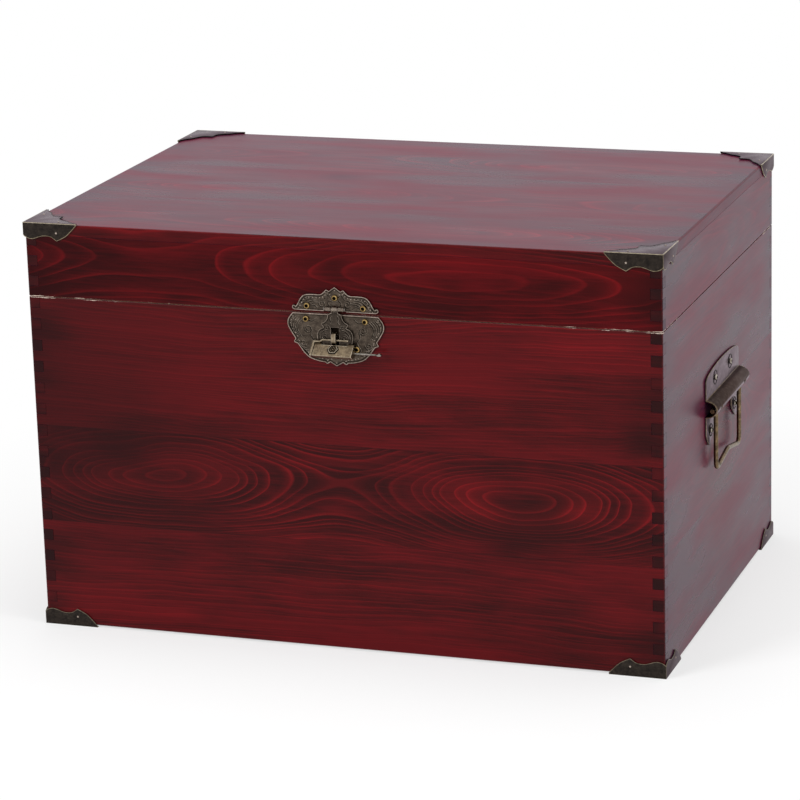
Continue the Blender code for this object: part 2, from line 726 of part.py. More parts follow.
def hasp_lower(base_front):
    """The base's half of the hasp, with the holes that the staple's tails pass through."""
    half = outline_from_shares(LOWER_RUN_SHARES, HASP_LOWER_HALF, -HASP_LOWER_HEIGHT)
    item = plate(
        "hasp_lower_plate", symmetric(half), HASP_GAUGE,
        on_front(FRONT_Y - SEAT_GAP - HASP_GAUGE / 2, PARTING - HASP_LOWER_DROP))
    seat_y = FRONT_Y - SEAT_GAP - HASP_GAUGE
    places = {
        "hasp_screw_lower_left": (-LOWER_SCREW_SIDE, LOWER_SCREW_DROP),
        "hasp_screw_lower_right": (LOWER_SCREW_SIDE, LOWER_SCREW_DROP),
        "hasp_screw_foot_left": (-LOWER_SCREW_FOOT_SIDE, LOWER_SCREW_FOOT_DROP),
        "hasp_screw_foot_right": (LOWER_SCREW_FOOT_SIDE, LOWER_SCREW_FOOT_DROP),
    }
    for name, (x, drop) in places.items():
        screw(name, (x, seat_y, PARTING - drop), (0.0, 1.0, 0.0), (item, base_front))
    staple(item, base_front)
    return finish(item, BRONZE)


def staple(lower_plate, base_front):
    """A flat-strip staple whose crown stands out through the tongue's slot."""
    top = PARTING - STAPLE_TOP_DROP
    bottom = top - STAPLE_HEIGHT
    tail = STAPLE_TAIL
    half = STAPLE_WIRE / 2
    crown = STAPLE_REACH - half
    middle = [(-tail, -half), (crown, -half), (crown, half - STAPLE_HEIGHT), (-tail, half - STAPLE_HEIGHT)]
    line = rounded_path([Vector(point) for point in middle], STAPLE_CROWN_RADIUS)
    outer, inner = offset_sides(line, half)
    item = plate(
        "staple", outer + inner[::-1], STAPLE_WIDTH,
        Matrix.Translation((0.0, FRONT_Y, top)) @ Matrix.Rotation(-math.pi / 2, 4, "Z")
        @ Matrix.Rotation(math.pi / 2, 4, "X"))
    width = STAPLE_WIDTH / 2 + RUNNING_GAP
    tall = half + RUNNING_GAP
    for label, z in (("upper", top - half), ("lower", bottom + half)):
        hole = box(
            "staple_hole_" + label,
            (-width, FRONT_Y - OVERRUN, z - tall), (width, FRONT_Y + tail + RUNNING_GAP, z + tall), cutters)
        cut(lower_plate, hole)
        cut(base_front, hole)
    return finish(item, BRONZE)


def offset_sides(line, distance):
    """The two lines that run beside a planar line at a distance."""
    left = []
    right = []
    for index, point in enumerate(line):
        before = line[max(index - 1, 0)]
        after = line[min(index + 1, len(line) - 1)]
        along = (after - before).normalized()
        normal = Vector((-along.y, along.x))
        stretch = 1.0
        if 0 < index < len(line) - 1:
            one = (point - before).normalized()
            stretch = 1.0 / max(one.dot(along), 0.5)
        left.append(point + normal * distance * stretch)
        right.append(point - normal * distance * stretch)
    return left, right


# Padlock
def padlock():
    """A small spring padlock: roof-shaped body, sliding bolt with its shackle bar, and a push key."""
    section = [Vector((u * LOCK_DEPTH, -v * LOCK_HEIGHT)) for u, v in LOCK_SECTION_SHARES]
    place = (
        Matrix.Translation((0.0, LOCK_BACK_Y, LOCK_TOP)) @ Matrix.Rotation(-math.pi / 2, 4, "Z")
        @ Matrix.Rotation(math.pi / 2, 4, "X"))
    body = plate("padlock_body", section, LOCK_LENGTH, place)
    soften = body.modifiers.new("soft_edges", "BEVEL")
    soften.width = LOCK_EDGE_RADIUS
    soften.segments = 1
    half = LOCK_LENGTH / 2
    recess = rod(
        "lock_recess", (-half + LOCK_LUG, BAR_Y, BAR_Z), (half - LOCK_LUG, BAR_Y, BAR_Z),
        LOCK_RECESS_RADIUS, cutters)
    reach = LOCK_CHAMBER / 2
    chamber = box(
        "lock_chamber",
        (-half - OVERRUN, CHAMBER_Y - reach, CHAMBER_Z - reach),
        (half - LOCK_END_WALL, CHAMBER_Y + reach, CHAMBER_Z + reach), cutters)
    keyhole = rod(
        "lock_keyhole", (0.0, CHAMBER_Y, CHAMBER_Z), (half + OVERRUN, CHAMBER_Y, CHAMBER_Z),
        KEY_HOLE_RADIUS, cutters, SMALL_SIDES)
    cut(body, recess, chamber, keyhole)
    finish(body, AGED_BRASS)
    return body, lock_bolt(section), lock_key()


def lock_bolt(section):
    """The bolt: end plate, shackle bar through the staple, and a stem with two leaf springs."""
    half = LOCK_LENGTH / 2
    outer = -half - RUNNING_GAP - BOLT_PLATE
    rise = BOLT_PLATE_RISE
    raised = [Vector((point.x, point.y + (rise if point.y == 0.0 else 0.0))) for point in section]
    place = (
        Matrix.Translation((outer + BOLT_PLATE / 2, LOCK_BACK_Y, LOCK_TOP))
        @ Matrix.Rotation(-math.pi / 2, 4, "Z") @ Matrix.Rotation(math.pi / 2, 4, "X"))
    item = plate("padlock_bolt", raised, BOLT_PLATE, place)
    low = LOCK_TOP + rise - BOLT_BAR_SINK
    bar = rounded_path(
        [Vector((outer + BOLT_PLATE / 2, BAR_Y, low)), Vector((-BOLT_BAR_FOOT, BAR_Y, low)),
         Vector((-BOLT_BAR_LEFT, BAR_Y, BAR_Z)), Vector((BOLT_BAR_RIGHT, BAR_Y, BAR_Z))], BOLT_BEND_RADIUS)
    shackle = wire("bolt_bar", bar, BOLT_BAR_RADIUS, Matrix(), cutters)
    reach = LOCK_CHAMBER / 2 - RUNNING_GAP
    stem_end = outer + BOLT_PLATE / 2 + BOLT_STEM_LENGTH
    stem = box(
        "bolt_stem",
        (outer + BOLT_PLATE / 2, CHAMBER_Y - reach, CHAMBER_Z - BOLT_STEM_WIDTH / 2),
        (stem_end, CHAMBER_Y + reach, CHAMBER_Z + BOLT_STEM_WIDTH / 2), cutters)
    join(item, shackle, stem)
    for side, label in ((-1, "lower"), (1, "upper")):
        leaf = plate(
            "bolt_leaf_" + label,
            [Vector((stem_end, side * BOLT_STEM_WIDTH / 4)),
             Vector((stem_end, side * (BOLT_STEM_WIDTH / 4 + BOLT_LEAF))),
             Vector((stem_end - BOLT_LEAF_LENGTH, side * (BOLT_LEAF_SPREAD + BOLT_LEAF / 2))),
             Vector((stem_end - BOLT_LEAF_LENGTH, side * (BOLT_LEAF_SPREAD - BOLT_LEAF / 2)))],
            reach * 2 - RUNNING_GAP, on_front(CHAMBER_Y, CHAMBER_Z), cutters)
        join(item, leaf)
    return finish(item, AGED_BRASS)


def lock_key():
    """The push key: a thin rod with a small loop to pull it by."""
    face = LOCK_LENGTH / 2
    end = face + KEY_SHOWN
    stem = [(x, CHAMBER_Y, CHAMBER_Z) for x in (face - KEY_INSERTED, face, end)]
    item = wire("padlock_key", stem, KEY_RADIUS)
    ring = []
    for step in range(ROUND_SIDES):
        angle = 2 * math.pi * step / ROUND_SIDES
        across = KEY_LOOP_RADIUS * (1 - math.cos(angle))
        ring.append((end + across, CHAMBER_Y + KEY_LOOP_RADIUS * math.sin(angle), CHAMBER_Z))
    loop = wire("key_loop", ring, KEY_RADIUS, Matrix(), cutters, True)
    join(item, loop)
    return finish(item, STEEL)


# Bail handles
def handle_sheet(name):
    """Sheet with a half-round channel pressed across it, longer and taller than the plate cut from it."""
    section = [Vector((0.0, HANDLE_TOP_LIFT + OVERRUN))]
    for step in range(CHANNEL_STEPS + 1):
        angle = math.pi / 2 - math.pi * step / CHANNEL_STEPS
        section.append(Vector((CHANNEL_REACH * math.cos(angle), CHANNEL_HALF_HEIGHT * math.sin(angle))))
    section.append(Vector((0.0, -LOBE_TIP_DROP - OVERRUN)))
    bm = bmesh.new()
    base = SIDE_X + CHANNEL_MID_REACH
    reach = HANDLE_HALF + OVERRUN
    row = [
        bm.verts.new((base + point.x, CENTRE_Y - reach, HANDLE_CENTRE + point.y)) for point in section
    ]
    edges = [bm.edges.new(pair) for pair in zip(row, row[1:])]
    swept = bmesh.ops.extrude_edge_only(bm, edges=edges)
    moved = [item for item in swept["geom"] if isinstance(item, bmesh.types.BMVert)]
    bmesh.ops.translate(bm, verts=moved, vec=(0.0, 2 * reach, 0.0))
    item = object_from_bmesh(name, bm, parts)
    shell = item.modifiers.new("sheet", "SOLIDIFY")
    shell.thickness = HANDLE_GAUGE
    shell.offset = 0.0
    shell.use_even_offset = True
    return item


def handle_outline():
    """Outline of the plate: arched top, straight ends, and an eared lobe under each end."""
    shoulder = HANDLE_SHOULDER_LIFT
    arch = [
        Vector((HANDLE_HALF * math.cos(angle), shoulder + (HANDLE_TOP_LIFT - shoulder) * math.sin(angle)))
        for angle in (math.pi / 2 * step / ARCH_STEPS for step in range(ARCH_STEPS + 1))
    ]
    under = -CHANNEL_HALF_HEIGHT - HANDLE_GAUGE / 2
    inner = HANDLE_HALF - LOBE_WIDTH
    half = [Vector((0.0, under)), Vector((inner, under))]
    tip = HANDLE_HALF - LOBE_WIDTH * (1 - LOBE_TIP_SHARE)
    lobe = [
        (inner, under), (inner, -LOBE_SHOULDER_DROP), (tip, -LOBE_TIP_DROP),
        (HANDLE_HALF, -LOBE_SHOULDER_DROP), (HANDLE_HALF, shoulder),
    ]
    half.extend(rounded_path([Vector(point) for point in lobe], LOBE_BEND_RADIUS)[1:-1])
    half.extend(arch)
    return half


def bail_path():
    """The bail's centre line in Y and up, from its pivot axis."""
    corner = [
        (-BAIL_HALF - BAIL_PIN, 0.0), (-BAIL_HALF, 0.0), (-BAIL_HALF, -BAIL_DROP),
        (0.0, -BAIL_DROP + BAIL_RISE),
        (BAIL_HALF, -BAIL_DROP), (BAIL_HALF, 0.0), (BAIL_HALF + BAIL_PIN, 0.0),
    ]
    pin_bend = BAIL_PIN_BEND_RADIUS
    radii = [pin_bend, BAIL_BEND_RADIUS, BAIL_BEND_RADIUS, BAIL_BEND_RADIUS, pin_bend]
    return rounded_path([Vector(point) for point in corner], radii)


def bail_handle(side, board):
    """Plate, bail and screws of one side's handle."""
    label = "right" if side > 0 else "left"
    item = handle_sheet("handle_plate_" + label)
    silhouette = plate(
        "handle_outline_" + label, symmetric(handle_outline()), 4 * CHANNEL_REACH,
        on_right(SIDE_X, HANDLE_CENTRE), cutters)
    boolean(item, silhouette, "INTERSECT")
    play = BAIL_WIRE_RADIUS + BAIL_SLOT_PLAY
    below = HANDLE_CENTRE - CHANNEL_HALF_HEIGHT - OVERRUN
    outside = SIDE_X + CHANNEL_REACH + OVERRUN
    for end in (-1, 1):
        leg_y = CENTRE_Y + end * BAIL_HALF
        slot = box(
            "bail_slot_%s_%d" % (label, end),
            (SIDE_X + BAIL_AXIS_REACH - play, leg_y - play, below),
            (outside, leg_y + play, BAIL_AXIS_Z + play), cutters)
        turn_to_side(slot, side)
        cut(item, slot)
    turn_to_side(item, side)
    turn_to_side(silhouette, side)
    bail = wire("bail_" + label, [(point.x, 0.0, point.y) for point in bail_path()], BAIL_WIRE_RADIUS)
    bail.data.transform(Matrix.Rotation(math.pi / 2, 4, "Z"))
    bail.location = (side * (SIDE_X + BAIL_AXIS_REACH), CENTRE_Y, BAIL_AXIS_Z)
    seat_x = side * (SIDE_X + SEAT_GAP + HANDLE_GAUGE)
    places = {
        "upper_front": (-HANDLE_SCREW_SIDE, HANDLE_SCREW_LIFT),
        "upper_rear": (HANDLE_SCREW_SIDE, HANDLE_SCREW_LIFT),
        "lower_front": (-LOBE_SCREW_SIDE, -LOBE_SCREW_DROP),
        "lower_rear": (LOBE_SCREW_SIDE, -LOBE_SCREW_DROP),
    }
    for name, (y, lift) in places.items():
        screw(
            "handle_screw_%s_%s" % (label, name), (seat_x, CENTRE_Y + y, HANDLE_CENTRE + lift),
            (-side, 0.0, 0.0), (item, board))
    finish(item, BRONZE)
    return finish(bail, BRONZE)


def turn_to_side(item, side):
    """Turns a shape made for the right side half round the box's middle for the left side."""
    if side < 0:
        about = Matrix.Translation((0.0, CENTRE_Y, 0.0))
        item.matrix_world = about @ Matrix.Rotation(math.pi, 4, "Z") @ about.inverted() @ item.matrix_basis


# Rear hinges
def hinge_leaf(name, x, up, knuckles, board):
    """One leaf on the back face with its knuckles; up is 1 on the lid and -1 on the base."""
    half = HINGE_WIDTH / 2
    corners = [(-half, 0.0), (-half, up * HINGE_LEAF), (half, up * HINGE_LEAF), (half, 0.0)]
    line = rounded_path([Vector(point) for point in corners], HINGE_CORNER_RADIUS)
    y = BACK_Y + SEAT_GAP + HINGE_GAUGE / 2
    item = plate(
        name, line, HINGE_GAUGE,
        Matrix.Translation((x, y, PARTING)) @ Matrix.Rotation(math.pi / 2, 4, "X"))
    length = HINGE_WIDTH / 3
    clear = HINGE_BARREL_RADIUS + RUNNING_GAP
    for index in range(3):
        low = x - half + index * length
        high = low + length
        if index in knuckles:
            trim = RUNNING_GAP / 2
            barrel = rod(
                "%s_barrel_%d" % (name, index), (low + trim, HINGE_AXIS.y, PARTING),
                (high - trim, HINGE_AXIS.y, PARTING), HINGE_BARREL_RADIUS, cutters)
            join(item, barrel)
        else:
            left = low - (OVERRUN if index == 0 else RUNNING_GAP)
            right = high + (OVERRUN if index == 2 else RUNNING_GAP)
            bottom, top = sorted((PARTING - up * OVERRUN, PARTING + up * clear))
            notch = box(
                "%s_notch_%d" % (name, index), (left, BACK_Y - OVERRUN, bottom),
                (right, BACK_Y + HINGE_AXIS_REACH + clear, top), cutters)
            cut(item, notch)
    past = half + OVERRUN
    bore = rod(
        name + "_bore", (x - past, HINGE_AXIS.y, PARTING), (x + past, HINGE_AXIS.y, PARTING),
        HINGE_BORE_RADIUS, cutters, SMALL_SIDES)
    cut(item, bore)
    screws = []
    for side, label in ((-1, "a"), (1, "b")):
        screws.append(screw(
            "%s_screw_%s" % (name, label),
            (x + side * HINGE_SCREW_SIDE, BACK_Y + SEAT_GAP + HINGE_GAUGE, PARTING + up * HINGE_SCREW_LIFT),
            (0.0, -1.0, 0.0), (item, board)))
    finish(item, BRONZE)
    return [item, *screws]


def rear_hinge(label, x, lid_back, base_back):
    """A butt hinge across the parting; returns the pieces that open with the lid."""
    lid_pieces = hinge_leaf("hinge_%s_lid_leaf" % label, x, 1, (1,), lid_back)
    hinge_leaf("hinge_%s_base_leaf" % label, x, -1, (0, 2), base_back)
    half = HINGE_WIDTH / 2 + RUNNING_GAP
    head = HINGE_PIN_HEAD_HEIGHT
    name = "hinge_%s_pin" % label
    pin = rod(
        name, (x - half - head / 2, HINGE_AXIS.y, PARTING), (x + half + head / 2, HINGE_AXIS.y, PARTING),
        HINGE_PIN_RADIUS, None, SMALL_SIDES)
    for side, end in ((-1, "a"), (1, "b")):
        near = x + side * half
        far = near + side * head
        cap = rod(
            "%s_head_%s" % (name, end), (near, HINGE_AXIS.y, PARTING), (far, HINGE_AXIS.y, PARTING),
            HINGE_PIN_HEAD_RADIUS, cutters, SMALL_SIDES)
        join(pin, cap)
    finish(pin, STEEL)
    return lid_pieces


def build():
    global parts, cutters
    clear_scene()
    parts = new_collection("wooden_storage_box")
    cutters = new_collection("cutters")
    envelope = carcass_envelope()
    base = joined_boards("base", WOOD_BOTTOM, BASE_TOP, OVERRUN, 0.0, envelope, 0)
    lid = joined_boards("lid", LID_BOTTOM, LID_BOARD_TOP, 0.0, 0.0, envelope, 1)
    panel_in_grooves(base)
    lid_pieces = [*lid, lid_top(envelope)]
    for side_x, label_x in ((-1, "left"), (1, "right")):
        for side_y, label_y in ((-1, "front"), (1, "rear")):
            lid_pieces.append(corner_bracket("lid_corner_%s_%s" % (label_y, label_x), side_x, side_y, True))
            corner_bracket("base_corner_%s_%s" % (label_y, label_x), side_x, side_y, False)
    lid_pieces.extend(hasp_upper(lid[0]))
    tongue = hasp_tongue()
    hasp_lower(base[0])
    body, bolt, key = padlock()
    for label, side in (("left", -1), ("right", 1)):
        lid_pieces.extend(rear_hinge(label, side * HINGE_SPACING / 2, lid[1], base[1]))
    lid_pivot = pivot_empty("lid_pivot", HINGE_AXIS)
    carry(lid_pivot, *lid_pieces)
    tongue_pivot = pivot_empty("tongue_pivot", TONGUE_AXIS)
    carry(tongue_pivot, tongue)
    lock_pivot = pivot_empty("padlock_pivot", LOCK_AXIS)
    carry(lock_pivot, body, bolt, key)
    bail_handle(-1, base[2])
    bail_handle(1, base[3])


build()
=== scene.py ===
import math

import bmesh
import bpy
from mathutils import Matrix, Vector

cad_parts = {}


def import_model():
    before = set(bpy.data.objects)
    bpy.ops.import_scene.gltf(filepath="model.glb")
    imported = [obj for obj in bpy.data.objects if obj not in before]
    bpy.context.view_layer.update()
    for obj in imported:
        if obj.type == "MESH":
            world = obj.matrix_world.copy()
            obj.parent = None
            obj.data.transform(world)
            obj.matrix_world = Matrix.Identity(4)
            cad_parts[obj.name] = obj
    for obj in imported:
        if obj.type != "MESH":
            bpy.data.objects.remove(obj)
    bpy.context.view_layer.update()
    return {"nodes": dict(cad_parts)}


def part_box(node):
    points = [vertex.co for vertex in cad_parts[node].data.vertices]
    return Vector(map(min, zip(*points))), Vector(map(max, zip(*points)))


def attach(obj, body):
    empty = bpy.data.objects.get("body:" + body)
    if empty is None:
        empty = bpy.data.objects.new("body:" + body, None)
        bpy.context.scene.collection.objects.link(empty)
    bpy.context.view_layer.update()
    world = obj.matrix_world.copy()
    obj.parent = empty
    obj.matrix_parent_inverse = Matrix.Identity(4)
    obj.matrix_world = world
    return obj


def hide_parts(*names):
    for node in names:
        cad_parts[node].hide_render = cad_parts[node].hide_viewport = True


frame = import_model()
nodes = frame["nodes"]

# Sizes in metres, shared with the part's source
MM = 0.001
WIDTH, DEPTH, CENTRE_Y = 0.455, 0.320, 0.003825
WOOD_BOTTOM, WOOD_TOP, PARTING = 0.0011, 0.2931, 0.2411
SIDE_X = WIDTH / 2
FRONT_Y = CENTRE_Y - DEPTH / 2
HASP_FACE_Y = FRONT_Y - 1.3 * MM
TONGUE_FACE_Y = FRONT_Y - 3.05 * MM
TONGUE_AXIS_Z = PARTING + 3.8 * MM
LOCK_FRONT_Y = -0.168125
LOCK_BACK_Y = -0.159525
LOCK_TOP = 0.2213
LOCK_HALF, LOCK_HEIGHT, LOCK_DEEP = 13.9 * MM, 9.2 * MM, 8.6 * MM
SLOPE_TOP, SLOPE_FOOT = Vector((0, -0.160729, LOCK_TOP)), Vector((0, LOCK_FRONT_Y, 0.215228))
CUT_OUT_HALF, CUT_OUT_Y, CUT_OUT_Z = 9.4 * MM, -0.161878, 0.220357
KEY_AXIS = Vector((0.0, -0.162175, 0.2157))
BAIL_AXIS = Vector((0.2322, CENTRE_Y, 0.1548))
HANDLE_CENTRE = 0.1570
BRACKET_LEG = 40 * MM
BRACKET_FLAP = 12.5 * MM
BRACKET_PROUD = 1.1 * MM

# Outlines shared with the part's source, as shares of the half width and the height
FLAP_RUNS = [
    [(0.0, 0.70), (0.06, 0.86), (0.17, 0.93), (0.30, 0.80), (0.39, 0.735), (0.52, 0.77), (0.63, 1.0)],
    [(0.63, 1.0), (0.80, 0.72), (0.915, 0.38), (1.0, 0.09)],
]
FLANGE_RUNS = [
    [(1.0, 0.04), (0.87, 0.11), (0.76, 0.21), (0.64, 0.27), (0.54, 0.36), (0.53, 0.53)],
    [(0.53, 0.53), (0.36, 0.54), (0.27, 0.64), (0.21, 0.76), (0.11, 0.87), (0.04, 1.0)],
]
UPPER_RUNS = [
    [(0.0, 0.0), (0.955, 0.0)],
    [(0.955, 0.0), (1.0, 0.05), (1.0, 0.14), (0.965, 0.16)],
    [(0.965, 0.16), (0.925, 0.12), (0.88, 0.23), (0.80, 0.49), (0.697, 0.63), (0.52, 0.66),
     (0.36, 0.66), (0.28, 0.73), (0.20, 0.88)],
    [(0.20, 0.88), (0.133, 0.82)],
    [(0.133, 0.82), (0.0, 1.0)],
]
LOWER_RUNS = [
    [(0.0, 0.0), (0.892, 0.0)],
    [(0.892, 0.0), (0.985, 0.118), (1.0, 0.242), (0.933, 0.371), (0.846, 0.50)],
    [(0.846, 0.50), (0.883, 0.567)],
    [(0.883, 0.567), (0.80, 0.60)],
    [(0.80, 0.60), (0.77, 0.64), (0.684, 0.756), (0.56, 0.86), (0.38, 0.915), (0.24, 0.93)],
    [(0.24, 0.93), (0.20, 0.96), (0.135, 0.92)],
    [(0.135, 0.92), (0.0, 1.0)],
]
TONGUE_RUNS = [
    [(0.175, 0.0), (0.175, 0.082)],
    [(0.175, 0.082), (0.38, 0.12)],
    [(0.38, 0.12), (0.41, 0.19), (0.53, 0.27), (0.76, 0.33)],
    [(0.76, 0.33), (0.63, 0.41)],
    [(0.63, 0.41), (0.88, 0.46), (1.0, 0.563), (0.97, 0.704), (0.81, 0.827), (0.5, 0.93), (0.18, 0.96)],
    [(0.18, 0.96), (0.0, 1.0)],
]


# Kinds of node used often, each with its setting
SUM, DIFFERENCE, PRODUCT, QUOTIENT, PRODUCT_SUM, UNSIGNED, LEAST, MOST = (
    ("ShaderNodeMath", {"operation": word}) for word in (
        "ADD", "SUBTRACT", "MULTIPLY", "DIVIDE", "MULTIPLY_ADD", "ABSOLUTE", "MINIMUM", "MAXIMUM"))
ABOVE, BELOW, EXPONENTIAL, COSINE, POWER, FRACTION = (
    ("ShaderNodeMath", {"operation": word}) for word in (
        "GREATER_THAN", "LESS_THAN", "EXPONENT", "COSINE", "POWER", "FRACT"))
STRETCH, SHIFT, STRETCH_SHIFT, ENLARGE = (
    ("ShaderNodeVectorMath", {"operation": word}) for word in ("MULTIPLY", "ADD", "MULTIPLY_ADD", "SCALE"))
NUMBER_MIX, COLOUR_MIX = (("ShaderNodeMix", {"data_type": word}) for word in ("FLOAT", "RGBA"))
# A range's feeds are the value, where it starts and ends, and what these ends become
MAP_RANGE = ("ShaderNodeMapRange", {})
SMOOTH_RANGE = ("ShaderNodeMapRange", {"interpolation_type": "SMOOTHSTEP"})
NOISE = ("ShaderNodeTexNoise", {})
SPLIT = ("ShaderNodeSeparateXYZ", {})


# Helpers for nodes and meshes
def tint(code):
    """An sRGB hex value as linear RGBA."""
    channels = [int(code[i:i + 2], 16) / 255 for i in (1, 3, 5)]
    return (*(c / 12.92 if c <= 0.04045 else ((c + 0.055) / 1.055) ** 2.4 for c in channels), 1.0)


def add(tree, kind, feeds=(), **settings):
    """Adds one node, applies its settings, and feeds its inputs with values, sockets or nodes."""
    kind, usual = kind if isinstance(kind, tuple) else (kind, {})
    item = tree.nodes.new(kind)
    for key, value in {**usual, **settings}.items():
        setattr(item, key, value)
    pairs = feeds.items() if isinstance(feeds, dict) else enumerate(feeds)
    for key, value in pairs:
        if value is None:
            continue
        if isinstance(value, bpy.types.Node):
            value = value.outputs[0]
        if isinstance(value, bpy.types.NodeSocket):
            tree.links.new(value, item.inputs[key])
        else:
            item.inputs[key].default_value = value
    return item


def worked(tree, value, *steps):
    """Takes a value through maths nodes, one after another, each given with its other numbers."""
    for kind, *others in steps:
        value = add(tree, kind, (value, *others))
    return value


def clouds(tree, place, waves, shift=None, **feeds):
    """Noise with so many waves for each unit of the place along its three axes."""
    spot = add(tree, STRETCH, (place, waves))
    if shift:
        spot = add(tree, SHIFT, (spot, shift))
    return add(tree, NOISE, {"Vector": spot, "Scale": 1.0, "Detail": 2.0, **feeds})


def new_material(name):
    material = bpy.data.materials.new(name)
    material.use_nodes = True
    material.node_tree.nodes.clear()
    return material, material.node_tree


def coats(item, *materials):
    # Clearing slots would also move every face to the first one, so only a carried-over piece is cleared
    if item.data.materials:
        item.data.materials.clear()
    for material in materials:
        item.data.materials.append(material)
    return item


def mesh_from(name, bm):
    mesh = bpy.data.meshes.new(name)
    bm.to_mesh(mesh)
    bm.free()
    return mesh


def linked(name, data):
    item = bpy.data.objects.new(name, data)
    bpy.context.scene.collection.objects.link(item)
    return item


def piece_from(name, bm, *materials):
    return coats(linked(name, mesh_from(name, bm)), *materials)


def full_turn(steps):
    """Angles evenly spaced round a full turn."""
    return [2 * math.pi * step / steps for step in range(steps)]


def evaluated_mesh(item):
    graph = bpy.context.evaluated_depsgraph_get()
    return bpy.data.meshes.new_from_object(item.evaluated_get(graph))


def soften(mesh, degrees):
    mesh.polygons.foreach_set("use_smooth", [True] * len(mesh.polygons))
    mesh.set_sharp_from_angle(angle=math.radians(degrees))


# Camera, floor, light
def photo_camera():
    """The view solved from the box's corners: a long lens from the right, a little above."""
    azimuth, elevation, roll = (math.radians(a) for a in (19.266, 15.942, -1.684))
    place = (0.7819, -2.2709 + CENTRE_Y, 0.8211 + WOOD_BOTTOM)
    focal_pixels, picture_pixels, sensor = 3439.3, 800, 36
    back = Vector((math.sin(azimuth) * math.cos(elevation), -math.cos(azimuth) * math.cos(elevation),
                   math.sin(elevation)))
    right = Vector((0, 0, 1)).cross(back).normalized()
    up = back.cross(right)
    turned_right = right * math.cos(roll) + up * math.sin(roll)
    turned_up = up * math.cos(roll) - right * math.sin(roll)
    data = bpy.data.cameras.new("photo_camera")
    data.sensor_width = sensor
    data.lens = focal_pixels / picture_pixels * sensor
    data.clip_end = 60
    camera = linked("photo_camera", data)
    turn = Matrix((turned_right, turned_up, back)).transposed().to_4x4()
    camera.matrix_world = Matrix.Translation(place) @ turn
    bpy.context.scene.camera = camera


def softbox(name, place, aim, size, power):
    data = bpy.data.lights.new(name, "AREA")
    data.shape = "RECTANGLE"
    data.size, data.size_y = size
    data.energy = power
    lamp = linked(name, data)
    lamp.location = place
    lamp.rotation_euler = (Vector(aim) - Vector(place)).to_track_quat("-Z", "Y").to_euler()
    lamp.visible_glossy = False


def looked_at(tree):
    """One for a look straight at it, by a reflection or through a clear piece; nought for other light."""
    path = add(tree, "ShaderNodeLightPath").outputs
    return worked(tree, path["Is Camera Ray"], (MOST, path["Is Glossy Ray"]),
                  (MOST, path["Is Transmission Ray"]))


def studio():
    """A white floor that keeps the shadow, a white world for the eye and for reflections, soft lamps."""
    world = bpy.data.worlds.new("white_studio")
    bpy.context.scene.world = world
    world.use_nodes = True
    tree = world.node_tree
    tree.nodes.clear()
    strength = add(tree, MAP_RANGE, {"Value": looked_at(tree), "To Min": 0.38, "To Max": 1.0})
    glow = add(tree, "ShaderNodeBackground", {"Color": tint("#ffffff"), "Strength": strength})
    add(tree, "ShaderNodeOutputWorld", (glow,))

    # Matt white paint near the box, where its shadow falls, and pure white for the eye further out
    material, tree = new_material("white_floor")
    place = add(tree, "ShaderNodeTexCoord")
    reach = add(tree, "ShaderNodeVectorMath", (place.outputs["Object"],), operation="LENGTH")
    far = add(tree, MAP_RANGE, (reach.outputs["Value"], 0.28, 0.55, 0.58))
    share = add(tree, PRODUCT, (looked_at(tree), far))
    paint = add(tree, "ShaderNodeBsdfDiffuse", {"Color": (0.86, 0.86, 0.86, 1.0)})
    white = add(tree, "ShaderNodeEmission", {"Color": tint("#ffffff"), "Strength": 1.0})
    mix = add(tree, "ShaderNodeMixShader", (share, paint, white))
    add(tree, "ShaderNodeOutputMaterial", (mix,))
    bm = bmesh.new()
    bmesh.ops.create_grid(bm, x_segments=1, y_segments=1, size=12)
    piece_from("floor", bm, material)

    softbox("key_softbox", (-1.7, -2.3, 1.7), (0, 0, 0.15), (1.3, 1.3), 58)
    softbox("top_softbox", (0.1, 0.2, 2.4), (0, 0, 0.2), (1.6, 1.2), 28)
    softbox("side_softbox", (2.4, -0.5, 1.5), (0, 0, 0.15), (1.2, 1.2), 26)
    bpy.context.scene.view_settings.view_transform = "Standard"


# Varnished pine
class Plank:
    """One glued-up plank, in millimetres: where it starts across the board and how its rings were sawn.

    The tree's heart runs below the face at the depth called rise, along the line called middle. From the
    point called heart it dips by bow, and it is back after one wave. Ring is the spacing of the rings, and a
    higher tone is redder.
    """

    def __init__(self, start, heart, middle, rise, bow, wave, ring, tone):
        self.start = start
        self.place = (heart, middle, rise)
        self.sweep = (bow, wave, ring)
        self.tone = tone


def growth_rings(tree, radius, spacing):
    """The late-wood lines of the rings at this distance from the heart, and which years are bright."""
    count = add(tree, QUOTIENT, (radius, spacing))
    uneven = add(tree, NOISE, {"W": count, "Scale": 0.45, "Detail": 1.0}, noise_dimensions="1D")
    count = add(tree, PRODUCT_SUM, (uneven, 2.4, count))
    ring = add(tree, FRACTION, (count,))
    swell, core = (add(tree, SMOOTH_RANGE, (ring, start, 0.90)) for start in (0.35, 0.74))
    drop = add(tree, SMOOTH_RANGE, (ring, 0.90, 1.0, 1.0, 0.0))
    swell, core = (add(tree, PRODUCT, (part, drop)) for part in (swell, core))
    line = add(tree, NUMBER_MIX, {0: 0.55, 2: swell, 3: core}).outputs[0]
    # Bright years: some rings took more red than their neighbours
    years = add(tree, NOISE, {"W": count, "Scale": 0.21, "Detail": 1.0}, noise_dimensions="1D")
    return line, add(tree, SMOOTH_RANGE, (years, 0.44, 0.66))


